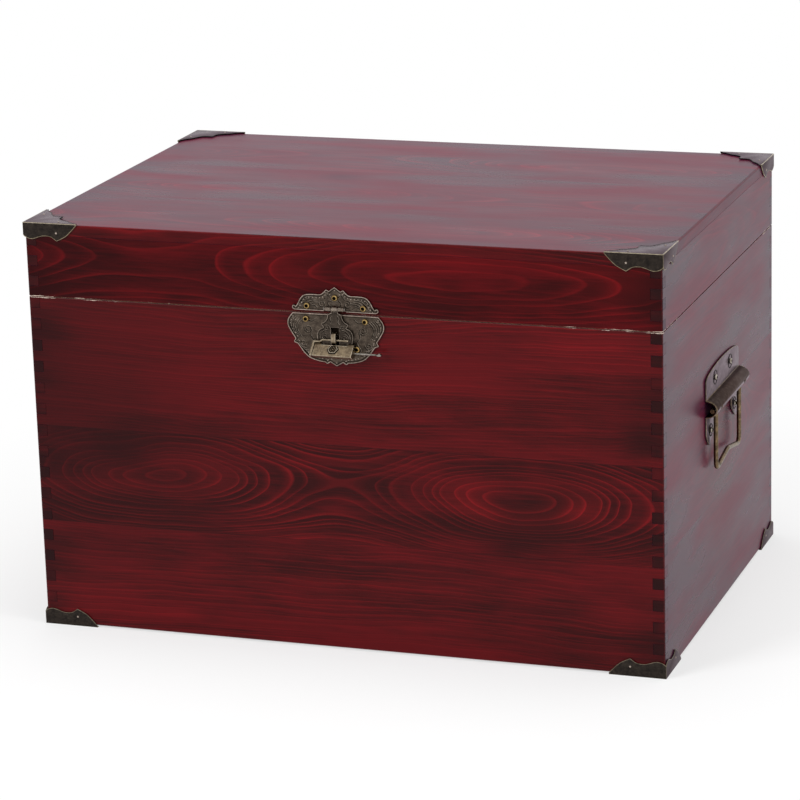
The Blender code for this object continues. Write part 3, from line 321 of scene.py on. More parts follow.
def stained_pine(name, along, across, planks, knots, seed, figure, panel, varnish):
    """Pine, stained mahogany red and varnished: dark early wood, bright red late-wood lines, black end grain.

    Lengths in the nodes are millimetres on the board's own axes. Sawn edges and inner faces are bare. The
    number called varnish is how strongly it mirrors the room.
    """
    material, tree = new_material(name)
    place = add(tree, "ShaderNodeTexCoord")
    scaled = add(tree, ENLARGE, {0: place.outputs["Object"], "Scale": 1000.0})
    axes = add(tree, SPLIT, (scaled,)).outputs
    u, v = axes[along], axes[across]
    facing = add(tree, SPLIT, (place.outputs["Normal"],)).outputs
    if panel:
        # The panel's edges carry on the boards below them
        level, ended = (worked(tree, facing[axis], (UNSIGNED,), (ABOVE, 0.5)) for axis in (2, 0))
        v = add(tree, NUMBER_MIX, {0: level, 2: axes[2], 3: v}).outputs[0]
        u = add(tree, NUMBER_MIX, {0: ended, 2: u, 3: axes[1]}).outputs[0]

    # Which plank: each later plank's numbers take over past its seam
    spot, sweep, tone = planks[0].place, planks[0].sweep, planks[0].tone
    seam_gap = None
    for before, plank in zip(planks, planks[1:]):
        past = add(tree, ABOVE, (v, plank.start))
        spot = add(tree, STRETCH_SHIFT, (past, [b - a for a, b in zip(before.place, plank.place)], spot))
        sweep = add(tree, STRETCH_SHIFT, (past, [b - a for a, b in zip(before.sweep, plank.sweep)], sweep))
        tone = add(tree, PRODUCT_SUM, (past, plank.tone - before.tone, tone))
        off = worked(tree, v, (DIFFERENCE, plank.start), (UNSIGNED,))
        seam_gap = off if seam_gap is None else add(tree, LEAST, (seam_gap, off))
    if len(planks) == 1:
        spot, sweep = (add(tree, "ShaderNodeCombineXYZ", numbers) for numbers in (spot, sweep))
    heart, middle, rise = add(tree, SPLIT, (spot,)).outputs
    bow, wave, spacing = add(tree, SPLIT, (sweep,)).outputs

    # Slow wander of the rings, about 130 mm long by 45 mm, and a quick ripple of 22 by 8 mm
    flat = add(tree, "ShaderNodeCombineXYZ", (u, v, heart))
    slow = clouds(tree, flat, (0.0075, 0.022, 0.37), (seed, seed * 0.7, seed * 1.3), Roughness=0.45)
    wander = add(tree, SPLIT, (slow.outputs["Color"],)).outputs
    ripple = add(tree, SUM, (clouds(tree, flat, (0.045, 0.12, 0.9)), -0.5))

    # Distance from the tree's heart, which the board's face cuts in nested arches
    drift = add(tree, PRODUCT_SUM, (wander[0], 14.0, -7.0))
    side = worked(tree, v, (DIFFERENCE, middle), (SUM, drift))
    side = add(tree, PRODUCT_SUM, (ripple, 1.3, side))
    swing = worked(tree, u, (DIFFERENCE, heart), (QUOTIENT, wave), (PRODUCT, 2 * math.pi), (COSINE,),
                   (PRODUCT_SUM, -0.5, 0.5))
    drift = add(tree, PRODUCT_SUM, (wander[1], 9.0, -4.5))
    deep = worked(tree, swing, (PRODUCT_SUM, bow, rise), (SUM, drift))
    squares = add(tree, PRODUCT, (side, side))
    radius = worked(tree, deep, (PRODUCT_SUM, deep, squares), (POWER, 0.5))

    # Knots push the rings apart and darken the wood round them; an entry that pushes nothing only darkens a
    # broad patch
    shade = None
    for knot_u, knot_v, long, wide, push, dark in knots:
        du = worked(tree, u, (DIFFERENCE, knot_u), (QUOTIENT, long))
        du = add(tree, PRODUCT, (du, du))
        dv = worked(tree, v, (DIFFERENCE, knot_v), (QUOTIENT, wide))
        fall = worked(tree, dv, (PRODUCT_SUM, dv, du), (PRODUCT, -1.0), (EXPONENTIAL,))
        radius = add(tree, PRODUCT_SUM, (fall, push, radius))
        patch = add(tree, PRODUCT, (fall, dark))
        shade = patch if shade is None else add(tree, SUM, (shade, patch))

    # A ring cut at a shallow angle, near the arches' tips, shows wider and brighter
    line, years = growth_rings(tree, radius, spacing)
    patch = clouds(tree, flat, (0.012, 0.030, 0.11), (seed, 7.0, seed * 3.0))
    patch = add(tree, MAP_RANGE, (patch, 0.38, 0.64, 0.20))
    shallow = worked(tree, deep, (QUOTIENT, radius), (MAP_RANGE, 0.25, 0.95, 0.30 * figure, figure),
                     (PRODUCT, patch))
    # The arches' hearts stay dull: no ring is cut there at all
    squares = worked(tree, side, (PRODUCT, side), (PRODUCT, 0.010))
    dull = worked(tree, swing, (PRODUCT_SUM, 7.0, squares), (PRODUCT, -1.0), (EXPONENTIAL,),
                  (PRODUCT_SUM, -0.70, 1.0))
    shallow = add(tree, PRODUCT, (shallow, dull))
    reach = add(tree, PRODUCT_SUM, (shallow, 0.40, 0.12 * figure))
    line = add(tree, PRODUCT, (line, reach))
    bright = worked(tree, years, (PRODUCT, shallow), (PRODUCT_SUM, 0.30, line))

    # Fibres, slow blotches of stain, and bundles of fibres, drawn 2 mm apart so that they still show
    fibre = clouds(tree, flat, (0.05, 1.7, 1.0), Detail=3.0, Roughness=0.6)
    blotch = clouds(tree, flat, (0.009, 0.035, 0.21), (seed * 2.1, seed, 0.0), Detail=3.0)
    blotch = add(tree, MAP_RANGE, (blotch, 0.33, 0.68))
    streak = clouds(tree, flat, (0.028, 0.52, 1.0), Roughness=0.6)
    depth_tone = add(tree, SUM, (blotch, tone))
    for cloud, strength in ((fibre, 0.5), (streak, 1.3)):
        depth_tone = add(tree, PRODUCT_SUM, (cloud, strength, depth_tone))
    depth_tone = add(tree, SUM, (depth_tone, -0.90), use_clamp=True)

    # Depth below the outer faces, and closeness to an arris, in millimetres
    below = []
    for axis, centre, half in ((0, 0.0, SIDE_X), (1, CENTRE_Y, DEPTH / 2),
                               (2, (WOOD_TOP + WOOD_BOTTOM) / 2, (WOOD_TOP - WOOD_BOTTOM) / 2)):
        off = worked(tree, axes[axis], (DIFFERENCE, centre * 1000), (UNSIGNED,))
        below.append(add(tree, DIFFERENCE, (half * 1000, off)))
    low, high = (add(tree, kind, below[:2]) for kind in (LEAST, MOST))
    depth = add(tree, LEAST, (low, below[2]))
    arris = add(tree, LEAST, (high, below[2]))
    arris = add(tree, MOST, (low, arris))
    crumb = add(tree, NOISE, {"Vector": scaled, "Scale": 0.22, "Detail": 4.0, "Roughness": 0.65})

    # Dark early wood, red late wood over it, then the darkening round knots and broad patches, and the glue
    # line of each seam
    layers = [(depth_tone, tint("#560d11")), (bright, tint("#96161b"))]
    if shade is not None:
        layers.append((shade, tint("#25090a")))
    if seam_gap is not None:
        layers.append((add(tree, MAP_RANGE, (seam_gap, 0.15, 0.5, 0.45, 0.0)), tint("#220b0d")))

    # Stain gathers near the boards' ends, and end grain drinks it and turns nearly black
    gather = add(tree, MAP_RANGE, (below[along], 4.0, 34.0, 0.75, 0.0))
    thick = add(tree, MAP_RANGE, (blotch, 0.15, 0.75, 1.0, 0.1))
    layers.append((add(tree, PRODUCT, (gather, thick)), tint("#250809")))
    if not panel:
        drunk = add(tree, NOISE, {"Vector": scaled, "Scale": 0.07, "Detail": 1.0})
        drunk = add(tree, MAP_RANGE, (drunk, 0.35, 0.65, 0.30, 0.80))
        cut = worked(tree, facing[along], (UNSIGNED,), (MAP_RANGE, 0.65, 0.8), (PRODUCT, drunk))
        layers.append((cut, tint("#1e0a0b")))

    # Rubbed arrises: the stain is thinner and redder
    rub = worked(tree, crumb, (PRODUCT_SUM, 2.2, arris), (MAP_RANGE, 1.3, 2.0, 0.35, 0.0))
    layers.append((rub, tint("#6a1f20")))

    # Bare pine on inner faces and sawn edges, and where the lid's saw cut has chipped and frayed
    planed = add(tree, COLOUR_MIX, {0: line, 6: tint("#dcc3a4"), 7: tint("#c6a37c")}).outputs[2]
    bare = worked(tree, crumb, (PRODUCT_SUM, 1.2, depth), (MAP_RANGE, 1.2, 2.2))
    from_cut = worked(tree, axes[2], (DIFFERENCE, PARTING * 1000), (UNSIGNED,))
    upright = worked(tree, facing[2], (UNSIGNED,), (BELOW, 0.5))
    torn = add(tree, MAP_RANGE, (below[along], None, 95.0, 0.42, 0.0))
    chips = clouds(tree, scaled, (0.12, 0.12, 0.5), Detail=4.0, Roughness=0.7)
    chip = worked(tree, chips, (PRODUCT_SUM, -1.9, from_cut), (DIFFERENCE, torn),
                  (MAP_RANGE, -0.86, -0.74, 1.0, 0.0), (PRODUCT, upright))
    fray = worked(tree, from_cut, (MAP_RANGE, 0.3, 0.7, 0.40, 0.0), (PRODUCT, upright))
    layers += [(bare, planed), (chip, tint("#eedfce")), (fray, tint("#a5645a"))]
    bare = add(tree, MOST, (bare, chip))

    colour = tint("#2f0a0b")
    for share, over in layers:
        colour = add(tree, COLOUR_MIX, {0: share, 6: colour, 7: over}).outputs[2]
    gloss = add(tree, MAP_RANGE, (blotch, None, None, 0.25, 0.355))
    gloss = add(tree, NUMBER_MIX, {0: bare, 2: gloss, 3: 0.75})
    height = add(tree, PRODUCT_SUM, (line, 0.7, fibre))
    bump = add(tree, "ShaderNodeBump", {"Height": height, "Distance": 0.00006, "Strength": 0.12})
    shader = add(tree, "ShaderNodeBsdfPrincipled",
                 {"Base Color": colour, "Roughness": gloss.outputs[0], "Normal": bump,
                  "Specular IOR Level": varnish, "Sheen Weight": 0.12, "Sheen Roughness": 0.35,
                  "Sheen Tint": tint("#d8a0ff")})
    add(tree, "ShaderNodeOutputMaterial", (shader,))
    return material


# Metals
def aged_metal(name, field, dark, worn, rough, spread, grain=0.9, wear=0.35, glance="#ffffff"):
    """Metal, blackened and rubbed back: cloudy patina with lighter rubbed spots.

    Field, dark and worn are its colours, spread is how far its roughness varies, wear is how strongly the
    spots show, and glance tints what it mirrors at a low angle.
    """
    material, tree = new_material(name)
    place = add(tree, "ShaderNodeTexCoord")
    scaled = add(tree, ENLARGE, {0: place.outputs["Object"], "Scale": 1000.0})
    # Clouds about 3 mm across; the specks are one millimetre divided by the grain
    cloud = add(tree, NOISE, {"Vector": scaled, "Scale": 0.30, "Detail": 5.0, "Roughness": 0.65})
    speck = add(tree, NOISE, {"Vector": scaled, "Scale": grain, "Detail": 3.0, "Roughness": 0.6})
    shade = add(tree, MAP_RANGE, {"Value": cloud, "From Min": 0.35, "From Max": 0.65})
    colour = add(tree, COLOUR_MIX, {0: shade, 6: tint(dark), 7: tint(field)})
    rubbed = add(tree, MAP_RANGE, {"Value": speck, "From Min": 0.52, "From Max": 0.72, "To Max": wear})
    colour = add(tree, COLOUR_MIX, {0: rubbed, 6: colour.outputs[2], 7: tint(worn)})
    roughness = add(tree, MAP_RANGE, {"Value": speck, "To Min": rough + spread, "To Max": rough - spread})
    bump = add(tree, "ShaderNodeBump", {"Height": speck, "Distance": 0.00005, "Strength": 0.35})
    shader = add(tree, "ShaderNodeBsdfPrincipled",
                 {"Base Color": colour.outputs[2], "Metallic": 1.0, "Roughness": roughness, "Normal": bump,
                  "Specular Tint": tint(glance)})
    add(tree, "ShaderNodeOutputMaterial", (shader,))
    return material


def dressed(node, body, field, rim, width=0.22 * MM, segments=2, sharp=32, flange=None, lift=0.9, thin=None):
    """A copy of a CAD piece with its edges rounded; edges take the rubbed finish, upward faces the flange's,
    a copy that paints what they mirror.

    The long edges at the height called thin bound a strip too narrow to round, and stay sharp.
    """
    bm = bmesh.new()
    bm.from_mesh(nodes[node].data)
    bmesh.ops.remove_doubles(bm, verts=bm.verts, dist=0.00001)
    bmesh.ops.dissolve_limit(bm, angle_limit=math.radians(0.5), verts=bm.verts, edges=bm.edges)
    for face in bm.faces:
        face.material_index = 0
    if width:
        edges = [
            edge for edge in bm.edges
            if len(edge.link_faces) == 2 and edge.calc_face_angle() > math.radians(sharp)
            and not (thin and edge.calc_length() > 30 * MM
                     and all(abs(vert.co.z - thin) < 0.5 * MM for vert in edge.verts))
        ]
        bmesh.ops.bevel(
            bm, geom=edges, offset=width, offset_type="OFFSET", segments=segments, profile=0.5,
            affect="EDGES", clamp_overlap=False, material=1)
    bmesh.ops.triangulate(bm, faces=bm.faces)
    for face in bm.faces:
        if flange and face.material_index == 0 and face.normal.z > lift:
            face.material_index = 2
    item = piece_from(node + "_dressed", bm, field, rim, flange or field)
    soften(item.data, 30)
    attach(item, body)
    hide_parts(node)
    return item


def smooth_run(points, steps):
    """Points along a smooth curve through the given ones."""
    ends = [Vector(point) for point in (points[0], *points, points[-1])]
    run = []
    for a, b, c, d in zip(ends, ends[1:], ends[2:], ends[3:]):
        for step in range(steps):
            t = step / steps
            run.append(0.5 * (2 * b + (c - a) * t + (2 * a - 5 * b + 4 * c - d) * t * t
                              + (3 * b - 3 * c + d - a) * t ** 3))
    run.append(ends[-1])
    return run


def rounded_path(points, radii, steps):
    """A line whose inner corners are rounded, each with its own radius."""
    points = [Vector(point) for point in points]
    path = [points[0]]
    for before, corner, after, radius in zip(points, points[1:], points[2:], radii):
        inward = (before - corner).normalized()
        outward = (after - corner).normalized()
        half = inward.angle(outward) / 2
        run = min(radius / math.tan(half), (before - corner).length / 2, (after - corner).length / 2)
        first, last = corner + inward * run, corner + outward * run
        for step in range(steps + 1):
            t = step / steps
            path.append(first * (1 - t) ** 2 + corner * 2 * t * (1 - t) + last * t * t)
    path.append(points[-1])
    return path


def wires(name, lines, material, rounding=3, cyclic=False):
    """Round wire along lines of (point, radius) pairs, as one mesh."""
    curve = bpy.data.curves.new(name, "CURVE")
    curve.dimensions = "3D"
    curve.bevel_depth = 1.0
    curve.bevel_resolution = rounding
    curve.use_fill_caps = not cyclic
    for line in lines:
        spline = curve.splines.new("POLY")
        spline.points.add(len(line) - 1)
        for target, (point, radius) in zip(spline.points, line):
            target.co = (*point, 1.0)
            target.radius = radius
        spline.use_cyclic_u = cyclic
    source = linked(name + "_line", curve)
    mesh = evaluated_mesh(source)
    bpy.data.objects.remove(source)
    bm = bmesh.new()
    bm.from_mesh(mesh)
    bpy.data.meshes.remove(mesh)
    bmesh.ops.remove_doubles(bm, verts=bm.verts, dist=0.000005)
    bmesh.ops.dissolve_degenerate(bm, dist=0.00001, edges=bm.edges)
    bmesh.ops.recalc_face_normals(bm, faces=bm.faces)
    for face in bm.faces:
        face.material_index = 0
    item = piece_from(name, bm, material)
    soften(item.data, 60)
    return item


# Screws and nails, repeated by Geometry Nodes
def spun(profile_at, sides, offset=0.0, crown=None, recessed=False):
    """A closed shape round the Z axis: profile_at(angle) gives (radius, height) pairs from the bottom up.

    It ends in a flat top, or in a tip at the height called crown. In a recessed one, the last strip and the
    top take the second finish.
    """
    bm = bmesh.new()
    rings = []
    for step in range(sides):
        angle = 2 * math.pi * (step + offset) / sides
        rings.append([bm.verts.new((r * math.cos(angle), r * math.sin(angle), z))
                      for r, z in profile_at(angle)])
    tip = bm.verts.new((0.0, 0.0, crown)) if crown else None
    inner = []
    for ring, following in zip(rings, rings[1:] + rings[:1]):
        strips = [bm.faces.new([ring[i], following[i], following[i + 1], ring[i + 1]])
                  for i in range(len(ring) - 1)]
        inner.append(strips[-1])
        if tip:
            bm.faces.new([ring[-1], following[-1], tip])
    bm.faces.new([ring[0] for ring in reversed(rings)])
    if not tip:
        inner.append(bm.faces.new([ring[-1] for ring in rings]))
    for face in inner:
        face.material_index = 1 if recessed else 0
    bmesh.ops.remove_doubles(bm, verts=bm.verts, dist=0.000001)
    bmesh.ops.recalc_face_normals(bm, faces=bm.faces)
    return bm


def cross_head(name, radius, height, arm, slot, shank, length, sides=32):
    """A round screw head with a cross recess, on its shank, standing on the origin and facing +Z."""
    def profile(angle):
        far, near = sorted((abs(math.cos(angle)), abs(math.sin(angle))))
        reach = min(arm / near, slot / far)
        return [(shank, -length), (shank, 0.0), (radius, 0.0), (radius, height * 0.30),
                (radius * 0.93, height * 0.62), (radius * 0.78, height * 0.88),
                (max(reach, radius * 0.60), height), (reach, height), (reach * 0.72, height * 0.18)]

    return mesh_from(name, spun(profile, sides, 0.5, recessed=True))


def nail_head(name, radius, height, sides=14):
    """A small domed nail head."""
    profile = [(radius, -height), (radius, 0.0), (radius * 0.92, height * 0.5),
               (radius * 0.6, height * 0.9)]
    return mesh_from(name, spun(lambda angle: profile, sides, crown=height))


def fastener_tree():
    """Stands a head on each seat, faces it along the seat's aim and turns it by a seeded random angle."""
    tree = bpy.data.node_groups.new("fasteners_on_seats", "GeometryNodeTree")
    sockets = {}
    for label, kind in (("Seats", "NodeSocketGeometry"), ("Head", "NodeSocketObject"),
                        ("Size", "NodeSocketFloat"), ("Seed", "NodeSocketInt"),
                        ("Finish", "NodeSocketMaterial")):
        sockets[label] = tree.interface.new_socket(label, in_out="INPUT", socket_type=kind)
    tree.interface.new_socket("Fasteners", in_out="OUTPUT", socket_type="NodeSocketGeometry")
    given = add(tree, "NodeGroupInput")
    aim = add(tree, "GeometryNodeInputNamedAttribute", {"Name": "aim"}, data_type="FLOAT_VECTOR")
    face = add(tree, "FunctionNodeAlignRotationToVector", {"Vector": aim}, axis="Z")
    spin = add(tree, "FunctionNodeRandomValue", {"Max": (0.0, 0.0, math.pi), "Seed": given.outputs["Seed"]},
               data_type="FLOAT_VECTOR")
    spin = add(tree, "FunctionNodeEulerToRotation", (spin,))
    turned = add(tree, "FunctionNodeRotateRotation", (face, spin), rotation_space="LOCAL")
    head = add(tree, "GeometryNodeObjectInfo", {"Object": given.outputs["Head"]})
    points = add(tree, "GeometryNodeMeshToPoints", (given.outputs["Seats"],))
    placed = add(tree, "GeometryNodeInstanceOnPoints",
                 {"Points": points, "Instance": head.outputs["Geometry"], "Rotation": turned,
                  "Scale": given.outputs["Size"]})
    real = add(tree, "GeometryNodeRealizeInstances", (placed,))
    first = add(tree, "GeometryNodeInputMaterialIndex")
    outside = add(tree, "FunctionNodeCompare", {2: first, 3: 0}, data_type="INT", operation="EQUAL")
    coated = add(tree, "GeometryNodeSetMaterial",
                 {"Geometry": real, "Selection": outside, "Material": given.outputs["Finish"]})
    add(tree, "NodeGroupOutput", (coated,))
    return tree, {label: socket.identifier for label, socket in sockets.items()}


def fasteners(name, body, seats, head_mesh, finish, recess, seed, replaced=()):
    """Runs the tree over one body's seats and keeps the result as a plain mesh."""
    seat_mesh = bpy.data.meshes.new(name + "_seats")
    seat_mesh.from_pydata([tuple(place) for place, aim in seats], [], [])
    aims = seat_mesh.attributes.new("aim", "FLOAT_VECTOR", "POINT")
    for item, (place, aim) in zip(aims.data, seats):
        item.vector = aim
    for material in (finish, recess):
        head_mesh.materials.append(material)
    head, source = linked(name + "_head", head_mesh), linked(name + "_source", seat_mesh)
    step = source.modifiers.new("repeat", "NODES")
    step.node_group = FASTENER_TREE
    for label, value in (("Head", head), ("Size", 1.0), ("Seed", seed), ("Finish", finish)):
        step[FASTENER_SOCKETS[label]] = value
    mesh = evaluated_mesh(source)
    mesh.name = name
    source.modifiers.remove(step)
    bpy.data.objects.remove(source)
    bpy.data.objects.remove(head)
    soften(mesh, 38)
    item = linked(name, mesh)
    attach(item, body)
    if replaced:
        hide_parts(*replaced)
    return item


photo_camera()
studio()

# Planks of each board, measured in millimetres from the part's origin
base_front_planks = [
    Plank(-10, 40, -96, 30, 14, 520, 3.3, 0.10),
    Plank(78, 128, 119, 11.0, 25, 260, 2.6, -0.28),
    Plank(148, -60, 322, 40, 22, 640, 2.45, 0.25),
]
base_back_planks = [
    Plank(-10, -120, 44, 13, 20, 400, 2.8, 0.0),
    Plank(92, 60, 130, 38, 12, 560, 2.6, 0.05),
    Plank(168, 90, 205, 12, 18, 380, 2.5, -0.05),
]
base_side_planks = [
    Plank(-10, 20, -80, 30, 12, 420, 2.8, 0.0),
    Plank(84, -40, 118, 20, 22, 380, 2.6, 0.05),
    Plank(160, 60, 310, 40, 12, 460, 2.5, 0.0),
]
lid_front_planks = [Plank(200, 88, 269.5, 12.4, 19, 440, 3.2, -0.20)]
lid_plain_planks = [Plank(200, -70, 262, 26, 14, 460, 2.6, 0.0)]
top_planks = [
    Plank(-170, 60, -118, 14, 18, 420, 2.8, 0.0),
    Plank(-62, -80, -20, 12, 20, 380, 2.6, 0.06),
    Plank(48, 120, 96, 13, 22, 400, 2.7, 0.0),
    Plank(200, 88, 269.5, 12.4, 19, 440, 3.2, -0.20),
]
front_knots = [
    (-161, 134, 26, 13, 5.0, 0.40),
    (118, 82, 20, 7, 3.5, 0.55),
    (214, 165, 16, 14, 4.0, 0.7),
    # No knot: it only darkens a broad patch at the board's left end
    (-235, 170, 130, 110, 0.0, 0.68),
]
# Each board's axes along and across the grain, planks, knots, seed, strength of the figure, and varnish
for node, along, across, planks, knots, seed, figure, varnish in (
        ("base_front_board", 0, 2, base_front_planks, front_knots, 1.0, 0.82, 0.09),
        ("base_back_board", 0, 2, base_back_planks, [(60, 110, 20, 10, 4.0, 0.7)], 5.0, 1.0, 0.09),
        ("base_left_board", 1, 2, base_side_planks, (), 9.0, 0.35, 0.09),
        ("base_right_board", 1, 2, base_side_planks, (), 3.0, 0.35, 0.09),
        # The lid front's entry is no knot: it only darkens a broad patch at its left end
        ("lid_front_board", 0, 2, lid_front_planks, [(-240, 268, 150, 60, 0.0, 0.35)], 2.0, 0.72, 0.05),
        ("lid_back_board", 0, 2, lid_plain_planks, (), 6.0, 1.0, 0.09),
        ("lid_left_board", 1, 2, lid_plain_planks, (), 7.0, 0.35, 0.09),
        ("lid_right_board", 1, 2, lid_plain_planks, (), 8.0, 0.35, 0.09),
        ("lid_top_panel", 0, 1, top_planks, [(-60, 30, 16, 9, 3.0, 0.6)], 2.0, 0.68, 0.074)):
    wood = stained_pine("stained_pine_" + node.rsplit("_", 1)[0], along, across, planks, knots, seed, figure,
                        node == "lid_top_panel", varnish)
    coats(nodes[node], wood)


def bare_pine():
    """Planed, unfinished pine: matt, pale, with soft ochre lines."""
    material, tree = new_material("planed_bare_pine")
    place = add(tree, "ShaderNodeTexCoord")
    # Lines about 110 mm long and 5 mm apart
    grain = clouds(tree, place.outputs["Object"], (9.0, 190.0, 60.0), Detail=4.0, Distortion=0.6)
    colour = add(tree, "ShaderNodeValToRGB", (grain,))
    colour.color_ramp.elements[0].position, colour.color_ramp.elements[0].color = 0.35, tint("#c19b6e")
    colour.color_ramp.elements[1].position, colour.color_ramp.elements[1].color = 0.62, tint("#dcc09b")
    bump = add(tree, "ShaderNodeBump", {"Height": grain, "Distance": 0.0001, "Strength": 0.4})
    shader = add(tree, "ShaderNodeBsdfPrincipled",
                 {"Base Color": colour, "Roughness": 0.72, "Normal": bump, "Specular IOR Level": 0.2})
    add(tree, "ShaderNodeOutputMaterial", (shader,))
    return material


coats(nodes["bottom_panel"], bare_pine())

# Stamped bronze sheet of the hasp and hinges, antiqued: cloudy brown, paler where it was rubbed back
plate_bronze = aged_metal("antiqued_bronze_plate", "#5c5147", "#3a322c", "#857869", 0.42, 0.07, 1.1, 0.4)
# A darker leaf that stands out from the plates behind it
tongue_bronze = aged_metal("darker_bronze_leaf", "#4e453d", "#332c27", "#7a6e60", 0.42, 0.07, 1.1, 0.35)
# Raised strokes, rubbed every time the hasp is used: pale and smoother
relief_bronze = aged_metal("rubbed_bronze_relief", "#93867a", "#655a50", "#cbbeae", 0.36, 0.06, 0.9, 0.6)
# Cut lines that hold old polish, and painted shadows beside raised strokes and edges: nearly black and dull
dark_line_and_painted_shadow = aged_metal("dark_polish_and_painted_shadow", "#241e1a", "#1a1613", "#3a322b", 0.55, 0.05)
# Rolled edges, rubbed bright all round
rim_bronze = aged_metal("rubbed_bronze_rim", "#b8a89c", "#8a7c70", "#e2d6ca", 0.32, 0.06, 0.9, 0.5)
# Blackened sheet of the corner plates: dark, with a faint mauve sheen at a low angle
bracket_bronze = aged_metal("blackened_bronze_sheet", "#37312c", "#262220", "#5c524a", 0.38, 0.07, 0.7,
                            0.25, glance="#efe3ea")
# Their upper faces: greyer, lighter and smoother, a painted reflection of the room
flange_painted_reflection = aged_metal("bronze_flange_painted_reflection", "#5c5256", "#4c4347", "#74696d", 0.26, 0.04, 0.7, 0.2,
                           glance="#e4dce1")
# Edges and folds of the corner plates: brass shows at the edge, brightest at the fold, dull at the foot
bracket_rim = aged_metal("rubbed_brass_edge", "#a1947a", "#726852", "#c9bb9c", 0.34, 0.06, 0.9, 0.4)
bracket_fold = aged_metal("polished_brass_fold", "#dccfba", "#b3a58d", "#f2e8d8", 0.28, 0.05, 0.9, 0.4)
foot_rim = aged_metal("dull_brass_edge", "#7b7161", "#595144", "#a0937c", 0.40, 0.06, 0.9, 0.4)
# Pressed handle plate, dulled: an even grey-brown; its channel's upper faces are browner and darker, a
# painted dark reflection, and more rubbed
handle_bronze = aged_metal("dull_bronze_pressing", "#6c6266", "#534b4e", "#8f8685", 0.34, 0.05, 0.4, 0.2,
                           glance="#f2e7ed")
channel_painted_dark_reflection = aged_metal("bronze_channel_painted_dark_reflection", "#48403d", "#352e2b", "#6f6560", 0.34, 0.06, 0.4, 0.3,
                            glance="#c9bfbd")
# Drawn wire, browned and then worn by hands: long pale patches
bail_brass = aged_metal("browned_brass_wire", "#7d684e", "#4c4033", "#b39a74", 0.34, 0.06, 0.5, 0.45)
# Cast lock, worn: uneven, with bright edges, grimy petals and a bar polished by sliding
lock_brass = aged_metal("worn_brass_casting", "#938269", "#6a5c4c", "#c0af92", 0.38, 0.08, 1.0, 0.5)
lock_rim = aged_metal("bright_brass_edge", "#dccfb8", "#b2a48c", "#f4ecdc", 0.30, 0.05, 0.9, 0.4)
lock_grime = aged_metal("grimy_brass_petals", "#93846c", "#6f6250", "#b3a488", 0.42, 0.06, 1.0, 0.4)
bar_brass = aged_metal("polished_brass_bar", "#958670", "#6f6150", "#cabb9f", 0.34, 0.06, 1.0, 0.5)
# Turned screws: warm brass on the hasp and hinges, pale plating on the handles; painted shade, black, in the
# recess
screw_brass = aged_metal("turned_brass", "#bd9f66", "#8e7346", "#e2cb94", 0.34, 0.06, 0.9, 0.4)
handle_screw_steel = aged_metal("plated_screw", "#b9b1a5", "#8a8174", "#e2dbd0", 0.32, 0.06, 0.9, 0.4)
# Painted shade: black for the screws' cross recesses and the patch seen through the hasp's slot
painted_recess_shade = aged_metal("recess_painted_shade", "#1d1611", "#120e0b", "#2c2119", 0.60, 0.05)
# Drawn steel wire: light grey, with little colour
pin_steel = aged_metal("drawn_steel_wire", "#a8a198", "#6f6a63", "#cfc9c0", 0.32, 0.06, 0.9, 0.3)

for end in ("left", "right"):
    for face in ("front", "rear"):
        dressed("lid_corner_%s_%s" % (face, end), "lid", bracket_bronze, bracket_rim, 0.2 * MM,
                flange=flange_painted_reflection)
        dressed("base_corner_%s_%s" % (face, end), "base", bracket_bronze, foot_rim, 0.2 * MM)
    # The upper faces of each handle's channel take its painted dark reflection
    dressed("handle_plate_" + end, "base", handle_bronze, bail_brass, 0.28 * MM, flange=channel_painted_dark_reflection,
            lift=0.2, thin=HANDLE_CENTRE - 6.4 * MM)
    dressed("hinge_%s_lid_leaf" % end, "lid", plate_bronze, rim_bronze, 0.2 * MM, sharp=40)
    dressed("hinge_%s_base_leaf" % end, "base", plate_bronze, rim_bronze, 0.2 * MM, sharp=40)
    dressed("hinge_%s_pin" % end, "base", pin_steel, pin_steel, 0.1 * MM, sharp=50)
dressed("hasp_upper_plate", "lid", plate_bronze, rim_bronze, 0.22 * MM, sharp=40)
dressed("hasp_lower_plate", "base", plate_bronze, rim_bronze, 0.22 * MM, sharp=40)
dressed("hasp_tongue", "tongue", tongue_bronze, rim_bronze, 0.2 * MM, sharp=40)
dressed("hasp_pin", "lid", pin_steel, pin_steel, 0.08 * MM, sharp=50)
dressed("staple", "base", bar_brass, lock_rim, 0.2 * MM, sharp=50)
dressed("padlock_body", "padlock", lock_brass, lock_rim, 0.15 * MM, sharp=40)
dressed("padlock_bolt", "bolt", bar_brass, lock_rim, 0.05 * MM, sharp=40)

FASTENER_TREE, FASTENER_SOCKETS = fastener_tree()


HEAD_TALL = 1.1 * MM
# Seats and names of the screws in each group
screws = {"lid": ([], []), "base": ([], []), "handle": ([], [])}
for node in nodes:
    if "_screw_" not in node:
        continue
    low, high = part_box(node)
    middle = (low + high) / 2
    if node.startswith("hasp"):
        seat, aim = Vector((middle.x, low.y + HEAD_TALL, middle.z)), Vector((0, -1, 0))
    elif node.startswith("hinge"):
        seat, aim = Vector((middle.x, high.y - HEAD_TALL, middle.z)), Vector((0, 1, 0))
    elif "_right_" in node:
        seat, aim = Vector((high.x - HEAD_TALL, middle.y, middle.z)), Vector((1, 0, 0))
    else:
        seat, aim = Vector((low.x + HEAD_TALL, middle.y, middle.z)), Vector((-1, 0, 0))
    on_lid = node.startswith("hasp") and "upper" in node or "lid_leaf" in node
    seats, names = screws["lid" if on_lid else "handle" if node.startswith("handle") else "base"]
    seats.append((seat, aim))
    names.append(node)
for group, body, finish, seed in (("lid", "lid", screw_brass, 11), ("base", "base", screw_brass, 23),
                                  ("handle", "base", handle_screw_steel, 31)):
    head = cross_head("cross_head_screw", 2.1 * MM, HEAD_TALL, 1.25 * MM, 0.75 * MM, 1.0 * MM, 5.9 * MM)
    seats, names = screws[group]
    fasteners(group + "_screws", body, seats, head, finish, painted_recess_shade, seed, names)

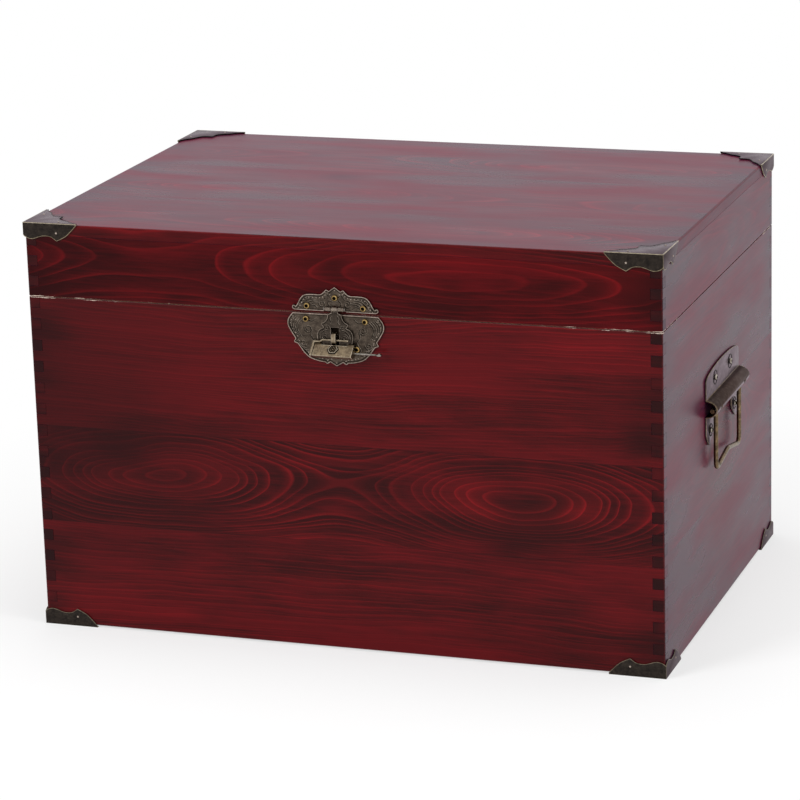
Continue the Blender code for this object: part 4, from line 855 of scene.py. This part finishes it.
# Bails, as smooth round wire
half, pin, drop, rise = 34.3 * MM, 10.0 * MM, 44.8 * MM, 6.0 * MM
bail_wire, tight_bend, wide_bend = 1.7 * MM, 2.2 * MM, 6 * MM
corners = [(-half - pin, 0.0), (-half, 0.0), (-half, -drop), (0.0, rise - drop), (half, -drop), (half, 0.0),
           (half + pin, 0.0)]
bail_line = rounded_path(corners, [tight_bend, wide_bend, wide_bend, wide_bend, tight_bend], 8)
for label, side in (("left", -1), ("right", 1)):
    points = [(Vector((side * BAIL_AXIS.x, BAIL_AXIS.y + p.x, BAIL_AXIS.z + p.y)), bail_wire)
              for p in bail_line]
    bail = wires("bail_%s_wire" % label, [points], bail_brass, 4)
    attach(bail, label + "_bail")
    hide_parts("bail_" + label)

# Key: a thin rod with a closed ring
key_wire, key_loop, key_foot, key_shoulder, key_middle = 0.65 * MM, 1.6 * MM, 10.0 * MM, 14.0 * MM, 22.0 * MM
key_end = key_shoulder + 16.5 * MM
stem = [(KEY_AXIS + Vector((x, 0, 0)), key_wire) for x in (key_foot, key_shoulder, key_middle, key_end)]
key = wires("padlock_key_stem", [stem], pin_steel, 4)
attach(key, "key")
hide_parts("padlock_key")
ring = [(KEY_AXIS + Vector((key_end + key_loop * (1 - math.cos(turn)), key_loop * math.sin(turn), 0)),
         key_wire) for turn in full_turn(28)]
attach(wires("padlock_key_ring", [ring], pin_steel, 4, True), "key")

# Rims: the rolled bright edge of each stamped plate
def outline(runs, across, along, steps=6):
    """Joins smooth runs, scaled to the piece, into one line."""
    line = []
    for run in runs:
        scaled = [Vector((u * across, v * along)) for u, v in run]
        for point in smooth_run(scaled, steps) if len(run) > 2 else scaled:
            if not line or (point - line[-1]).length > 0.15 * MM:
                line.append(point)
    return line


def both_halves(half):
    return half + [Vector((-point.x, point.y)) for point in reversed(half) if abs(point.x) > 0.15 * MM]


def inset(line, distance):
    """The closed line moved inwards, given clockwise or not, towards its middle."""
    middle = sum((point for point in line), Vector((0.0, 0.0))) / len(line)
    moved = []
    for before, point, after in zip(line[-1:] + line[:-1], line, line[1:] + line[:1]):
        along = (after - before).normalized()
        normal = Vector((-along.y, along.x))
        if normal.dot(middle - point) < 0:
            normal = -normal
        moved.append(point + normal * distance)
    return moved


def opened(line, gap):
    """The closed line cut open at its first point, so that the tongue's neck can swing through the gap."""
    return [Vector((gap, line[0].y)), *line[1:], Vector((-gap, line[0].y))]


def rim(name, body, line, face_y, base_z, radius, material, closed=True):
    points = [(Vector((p.x, face_y, base_z + p.y)), radius) for p in line]
    item = wires(name, [points], material, 2, closed)
    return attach(item, body)


upper_line = both_halves(outline(UPPER_RUNS, 30.5 * MM, 16.5 * MM))
lower_line = both_halves(outline(LOWER_RUNS, 34.3 * MM, -35.6 * MM))
tongue_line = both_halves(outline(TONGUE_RUNS, 12.6 * MM, -31.8 * MM))
UPPER_Z, LOWER_Z, KNUCKLE_GAP = PARTING + 2.1 * MM, PARTING - 0.5 * MM, 8 * MM
rim_y, groove_y = HASP_FACE_Y + 0.1 * MM, HASP_FACE_Y + 0.12 * MM
rim("hasp_upper_rim", "lid", opened(upper_line, KNUCKLE_GAP), rim_y, UPPER_Z, 0.34 * MM, rim_bronze, False)
rim("hasp_lower_rim", "base", lower_line, rim_y, LOWER_Z, 0.34 * MM, rim_bronze)
rim("hasp_tongue_rim", "tongue", tongue_line, TONGUE_FACE_Y + 0.1 * MM, TONGUE_AXIS_Z, 0.24 * MM,
    relief_bronze)
rim("hasp_upper_groove", "lid", opened(inset(upper_line, 0.85 * MM), KNUCKLE_GAP), groove_y, UPPER_Z,
    0.30 * MM, dark_line_and_painted_shadow, False)
rim("hasp_lower_groove", "base", inset(lower_line, 0.90 * MM), groove_y, LOWER_Z, 0.30 * MM, dark_line_and_painted_shadow)
rim("hasp_tongue_groove", "tongue", inset(tongue_line, 0.80 * MM), TONGUE_FACE_Y + 0.12 * MM, TONGUE_AXIS_Z,
    0.28 * MM, dark_line_and_painted_shadow)


# Relief: scrolls and feathers raised on the hasp
def spiral(x, z, radius, turns, start, hand, last=0.18):
    """A scroll from its outside in, in millimetres; angles in turns."""
    steps = max(12, int(turns * 18))
    points = []
    for step in range(steps + 1):
        share = step / steps
        reach = radius * (1 - (1 - last) * share)
        angle = 2 * math.pi * (start + hand * turns * share)
        points.append((x + reach * math.cos(angle), z + reach * math.sin(angle)))
    return points


def stroke(*knots):
    """A smooth stroke through the knots."""
    return [tuple(point) for point in smooth_run(knots, 6)]


def feathers(knots, shift, count):
    """Nested strokes, each moved by the same shift."""
    return [stroke(*((x + shift[0] * index, z + shift[1] * index) for x, z in knots))
            for index in range(count)]


def relief(name, body, strokes, face_y, base_z, width, limit):
    """Tapered half-round strokes on a plate's face, left and right, each with a painted shadow beside it: a
    dark line set below and to the left.
    """
    raised, painted_shadows = [], []
    for knots in strokes:
        knots = [(x, z) for x, z in knots if z * limit > 0 and abs(z) > abs(limit)]
        for side in (-1, 1):
            light, dark = [], []
            for index, (x, z) in enumerate(knots):
                taper = 0.40 + 0.60 * math.sin(math.pi * (index + 0.5) / len(knots)) ** 0.6
                light.append((Vector((side * x * MM, face_y, base_z + z * MM)), width * taper))
                # Painted shadow: a wider dark line, below and to the left of the stroke
                shadow_at = Vector((side * x * MM - 0.32 * MM, face_y + 0.10 * MM,
                                 base_z + z * MM - 0.34 * MM))
                dark.append((shadow_at, width * 1.35 * taper))
            raised.append(light)
            painted_shadows.append(dark)
    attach(wires(name + "_raised", raised, relief_bronze, 1), body)
    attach(wires(name + "_engraved", painted_shadows, dark_line_and_painted_shadow, 1), body)


upper_strokes = [
    *feathers([(15.5, 9.6), (20.5, 9.0), (24.5, 5.6), (26.8, 2.2)], (-1.5, -1.25), 4),
    spiral(9.0, 5.2, 2.9, 1.5, 0.30, -1),
    stroke((2.6, 9.6), (5.0, 11.6), (6.6, 9.4), (7.6, 8.2)),
    stroke((1.2, 6.2), (3.4, 7.4), (4.6, 5.2), (3.2, 3.4)),
    stroke((12.4, 2.0), (14.6, 3.8), (17.6, 3.2), (19.0, 1.6)),
]
lower_strokes = [
    *feathers([(28.6, -2.4), (31.6, -6.0), (31.6, -10.4), (28.8, -15.0)], (-1.5, -0.5), 4),
    spiral(19.6, -10.2, 3.1, 1.6, 0.10, -1),
    stroke((16.4, -10.5), (17.6, -14.6), (15.4, -19.0), (17.8, -23.6), (16.0, -27.4)),
    spiral(23.4, -20.4, 2.5, 1.4, 0.45, 1),
    *feathers([(21.0, -24.4), (24.6, -23.4), (26.8, -20.6)], (-1.6, -1.5), 3),
    stroke((13.6, -2.4), (16.6, -4.6), (20.0, -4.2), (23.4, -5.6)),
]
tongue_strokes = [
    spiral(5.0, -12.6, 1.5, 1.2, 0.05, 1),
    spiral(7.4, -19.6, 2.5, 1.4, 0.35, -1),
    stroke((2.0, -4.4), (3.2, -6.4), (2.4, -8.6), (3.6, -10.8)),
    stroke((4.4, -14.2), (7.4, -14.8), (10.2, -17.4), (10.8, -20.6)),
    stroke((9.6, -23.2), (7.0, -25.4), (4.4, -26.2)),
]
relief("hasp_upper_scrolls", "lid", upper_strokes, HASP_FACE_Y + 0.04 * MM, UPPER_Z, 0.30 * MM, 1.5)
relief("hasp_lower_scrolls", "base", lower_strokes, HASP_FACE_Y + 0.04 * MM, LOWER_Z, 0.32 * MM, -1.5)
relief("hasp_tongue_scrolls", "tongue", tongue_strokes, TONGUE_FACE_Y + 0.04 * MM, TONGUE_AXIS_Z, 0.30 * MM,
       -1.5)


def slot_painted_shadow():
    """A painted shadow: a thin black patch on the lower plate, seen through the tongue's slot."""
    bm = bmesh.new()
    size = Matrix.Diagonal((6.4 * MM, 0.16 * MM, 12.6 * MM, 1.0))
    place = Matrix.Translation((0, HASP_FACE_Y, PARTING - 14.9 * MM))
    bmesh.ops.create_cube(bm, size=1.0, matrix=place @ size)
    bmesh.ops.bevel(bm, geom=bm.edges, offset=0.05 * MM, segments=2, affect="EDGES")
    item = piece_from("hasp_slot_grime", bm, painted_recess_shade)
    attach(item, "base")


slot_painted_shadow()


# Punched dots just inside the rims
def dots_along(line, spacing, face_y, base_z, widest):
    seats, walked = [], 0.0
    for before, after in zip(line, line[1:] + line[:1]):
        walked += (after - before).length
        if walked >= spacing and abs(after.x) < widest:
            walked = 0.0
            seats.append((Vector((after.x, face_y, base_z + after.y)), Vector((0, -1, 0))))
    return seats


for name, body, line, base_z, widest, seed in (
        ("hasp_upper_dots", "lid", inset(upper_line, 2.0 * MM), UPPER_Z, 27 * MM, 5),
        ("hasp_lower_dots", "base", inset(lower_line, 2.1 * MM), LOWER_Z, 40 * MM, 6)):
    fasteners(name, body, dots_along(line, 2.1 * MM, HASP_FACE_Y, base_z, widest),
              nail_head("punched_dot", 0.42 * MM, 0.26 * MM, 8), rim_bronze, rim_bronze, seed)


# Turned pieces and brackets
def turned(name, profile, place, material, sides=28):
    """A lathe-turned piece: (distance along, radius) pairs round the place's Z axis, closed at both ends."""
    bm = spun(lambda angle: [(r, z) for z, r in profile], sides)
    bmesh.ops.transform(bm, matrix=place, verts=bm.verts)
    item = piece_from(name, bm, material)
    soften(item.data, 35)
    return item


def knuckle(name, body, start, end):
    """One barrel of the hasp's hinge, with a bead near each end."""
    length, tall, low = end - start, 1.72 * MM, 1.56 * MM
    profile = [(length * share, reach) for share, reach in (
        (0.0, low * 0.70), (0.08, low * 0.96), (0.22, tall), (0.34, low), (0.66, low), (0.78, tall),
        (0.92, low * 0.96), (1.0, low * 0.70))]
    lying = Matrix.Rotation(math.pi / 2, 4, "Y")
    place = Matrix.Translation((start, FRONT_Y - 2.6 * MM, TONGUE_AXIS_Z)) @ lying
    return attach(turned(name, profile, place, relief_bronze), body)


knuckle("hasp_knuckle_left", "lid", -6.9 * MM, -2.5 * MM)
knuckle("hasp_knuckle_middle", "tongue", -2.2 * MM, 2.2 * MM)
knuckle("hasp_knuckle_right", "lid", 2.5 * MM, 6.9 * MM)


def bracket_trim(name, body, side_x, side_y, top):
    """Bright folds and rolled scalloped edges of one corner bracket; returns the seats of its nails."""
    corner = Vector((side_x * (SIDE_X + BRACKET_PROUD), CENTRE_Y + side_y * (DEPTH / 2 + BRACKET_PROUD),
                     WOOD_TOP + BRACKET_PROUD if top else WOOD_BOTTOM - BRACKET_PROUD))
    turn = Vector((-side_x, -side_y, 1.0 if top else -1.0))

    def world(x, y, z):
        return corner + Vector((turn.x * x, turn.y * y, turn.z * z))

    scallop = outline(FLAP_RUNS, BRACKET_LEG, -BRACKET_FLAP, 4) + [Vector((BRACKET_LEG, 0.0))]
    wave = outline(FLANGE_RUNS, BRACKET_LEG, BRACKET_LEG, 4)
    deep, edge, fold, near, half_leg = 0.25 * MM, 0.24 * MM, (0.34 if top else 0.28) * MM, 0.3 * MM, 20 * MM
    scallops = [
        [(world(p.x, deep, p.y), edge) for p in scallop],
        [(world(deep, p.x, p.y), edge) for p in scallop],
    ]
    folds = [
        [(world(near, near, z), 0.26 * MM) for z in (-near, -4 * MM, -0.70 * BRACKET_FLAP)],
        [(world(x, near, -near), fold) for x in (near, half_leg, BRACKET_LEG)],
        [(world(near, y, -near), fold) for y in (near, half_leg, BRACKET_LEG)],
    ]
    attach(wires(name + "_rolled_edges", scallops, bracket_rim if top else foot_rim, 2), body)
    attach(wires(name + "_folds", folds, bracket_fold if top else foot_rim, 2), body)
    # The flange's dark scalloped edge: partly the sheet's dark edge, partly a painted shadow it casts on the
    # wood
    dark = [[(world(p.x, p.y, -0.24 * MM), 0.32 * MM) for p in wave]]
    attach(wires(name + "_flange_edge", dark, dark_line_and_painted_shadow, 2), body)
    across, down, inward = 0.63 * BRACKET_LEG, -0.55 * BRACKET_FLAP, 5 * MM
    seats = [(world(across, 0, down), Vector((0, side_y, 0))),
             (world(0, across, down), Vector((side_x, 0, 0)))]
    if top:
        seats += [(world(*place, 0), Vector((0, 0, 1))) for place in ((across, inward), (inward, across))]
    return seats


nails = {"lid": [], "base": []}
for end, side_x in (("left", -1), ("right", 1)):
    for face, side_y in (("front", -1), ("rear", 1)):
        for body, top in (("lid", True), ("base", False)):
            nails[body] += bracket_trim("%s_corner_%s_%s" % (body, face, end), body, side_x, side_y, top)
for body, seats in nails.items():
    fasteners(body + "_bracket_nails", body, seats, nail_head("domed_nail", 0.75 * MM, 0.38 * MM),
              rim_bronze, rim_bronze, 41)


def ball(bm, matrix, segments, slot):
    """A small sphere, stretched by the matrix, with the finish of one slot."""
    made = bmesh.ops.create_uvsphere(bm, u_segments=segments, v_segments=6, radius=1.0 * MM, matrix=matrix)
    for face in {face for vert in made["verts"] for face in vert.link_faces}:
        face.material_index = slot


def padlock_rosette():
    """A raised hexagonal boss with a plain eight-petalled rosette, on the lock's sloping face."""
    slope = (SLOPE_TOP - SLOPE_FOOT).normalized()
    normal = Vector((1, 0, 0)).cross(slope)
    place = Matrix((Vector((1, 0, 0)), slope, normal)).transposed().to_4x4()
    place = Matrix.Translation((SLOPE_TOP + SLOPE_FOOT) / 2 - normal * 0.15 * MM) @ place
    bm = bmesh.new()
    rings = []
    for radius, height in ((4.4, 0.0), (4.4, 0.22), (3.55, 0.22), (3.50, 0.70), (3.15, 0.70), (2.95, 0.30)):
        reach = radius * MM
        rings.append([bm.verts.new((reach * math.cos(turn), reach * math.sin(turn), height * MM))
                      for turn in full_turn(6)])
    for level, (ring, following) in enumerate(zip(rings, rings[1:])):
        for k in range(6):
            face = bm.faces.new([ring[k], ring[(k + 1) % 6], following[(k + 1) % 6], following[k]])
            face.material_index = 1 if level in (0, 1, 4) else 0
    bm.faces.new(list(reversed(rings[0]))).material_index = 1
    bm.faces.new(rings[-1]).material_index = 1
    petal_place = Matrix.Translation((1.75 * MM, 0, 0.38 * MM))
    petal_size = Matrix.Diagonal((0.72, 0.34, 0.30, 1))
    for turn in full_turn(8):
        ball(bm, Matrix.Rotation(turn, 4, "Z") @ petal_place @ petal_size, 10, 2)
    ball(bm, Matrix.Translation((0, 0, 0.42 * MM)) @ Matrix.Diagonal((0.62, 0.62, 0.62 * 0.6, 1)), 12, 2)
    bmesh.ops.transform(bm, matrix=place, verts=bm.verts)
    item = piece_from("padlock_rosette", bm, lock_rim, dark_line_and_painted_shadow, lock_grime)
    soften(item.data, 40)
    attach(item, "padlock")


def lock_edges():
    """The edges that fingers keep bright: the lock's ridge, right end and cut-out, and the bolt's end."""
    section = [(0.02, 0.02), (0.14, 0.01), (0.98, 0.66), (0.99, 0.73), (0.72, 0.95), (0.64, 0.98)]

    def end_line(x, shares, radius):
        return [(Vector((x, LOCK_BACK_Y - u * LOCK_DEEP, LOCK_TOP - v * LOCK_HEIGHT)), radius)
                for u, v in shares]

    def ridge(places, sink, radius):
        return [(Vector((x, LOCK_FRONT_Y + sink, LOCK_TOP - 0.72 * LOCK_HEIGHT)), radius) for x in places]

    cut_out = [(Vector((x, CUT_OUT_Y, CUT_OUT_Z)), 0.18 * MM) for x in (-CUT_OUT_HALF, 0.0, CUT_OUT_HALF)]
    lines = [end_line(LOCK_HALF, section, 0.24 * MM),
             ridge((-LOCK_HALF, 0.0, LOCK_HALF), 0.33 * MM, 0.32 * MM), cut_out]
    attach(wires("padlock_bright_edges", lines, lock_rim, 2), "padlock")
    outer, inner = -15.5 * MM, -14.4 * MM
    lines = [end_line(outer, section[2:], 0.22 * MM), ridge((outer, inner), 0.31 * MM, 0.30 * MM)]
    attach(wires("bolt_bright_edges", lines, lock_rim, 2), "bolt")


padlock_rosette()
lock_edges()

# Pressed rings round the handles' screws, dark lines that paint the shade in their grooves, and the rolled
# lips at the channel's ends
rings, lips = [], []
plate_x, lip_x, lip_out, lip_tall = SIDE_X + 1.3 * MM, SIDE_X + 0.8 * MM, 7.9 * MM, 5.9 * MM
for seat, aim in screws["handle"][0]:
    reach = 4.9 * MM if seat.z > HANDLE_CENTRE else 4.3 * MM
    rings.append([
        (Vector((aim.x * plate_x, seat.y + reach * math.cos(turn), seat.z + reach * math.sin(turn))),
         0.34 * MM) for turn in full_turn(36)])
for side in (-1, 1):
    for end in (-1, 1):
        turns = [math.pi / 2 - math.pi * step / 16 for step in range(17)]
        lips.append([(Vector((side * (lip_x + lip_out * math.cos(turn)), CENTRE_Y + end * 47.5 * MM,
                              HANDLE_CENTRE + lip_tall * math.sin(turn))), 0.55 * MM) for turn in turns])
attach(wires("handle_pressed_rings", rings, dark_line_and_painted_shadow, 2, True), "base")
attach(wires("handle_channel_lips", lips, bracket_rim, 3), "base")
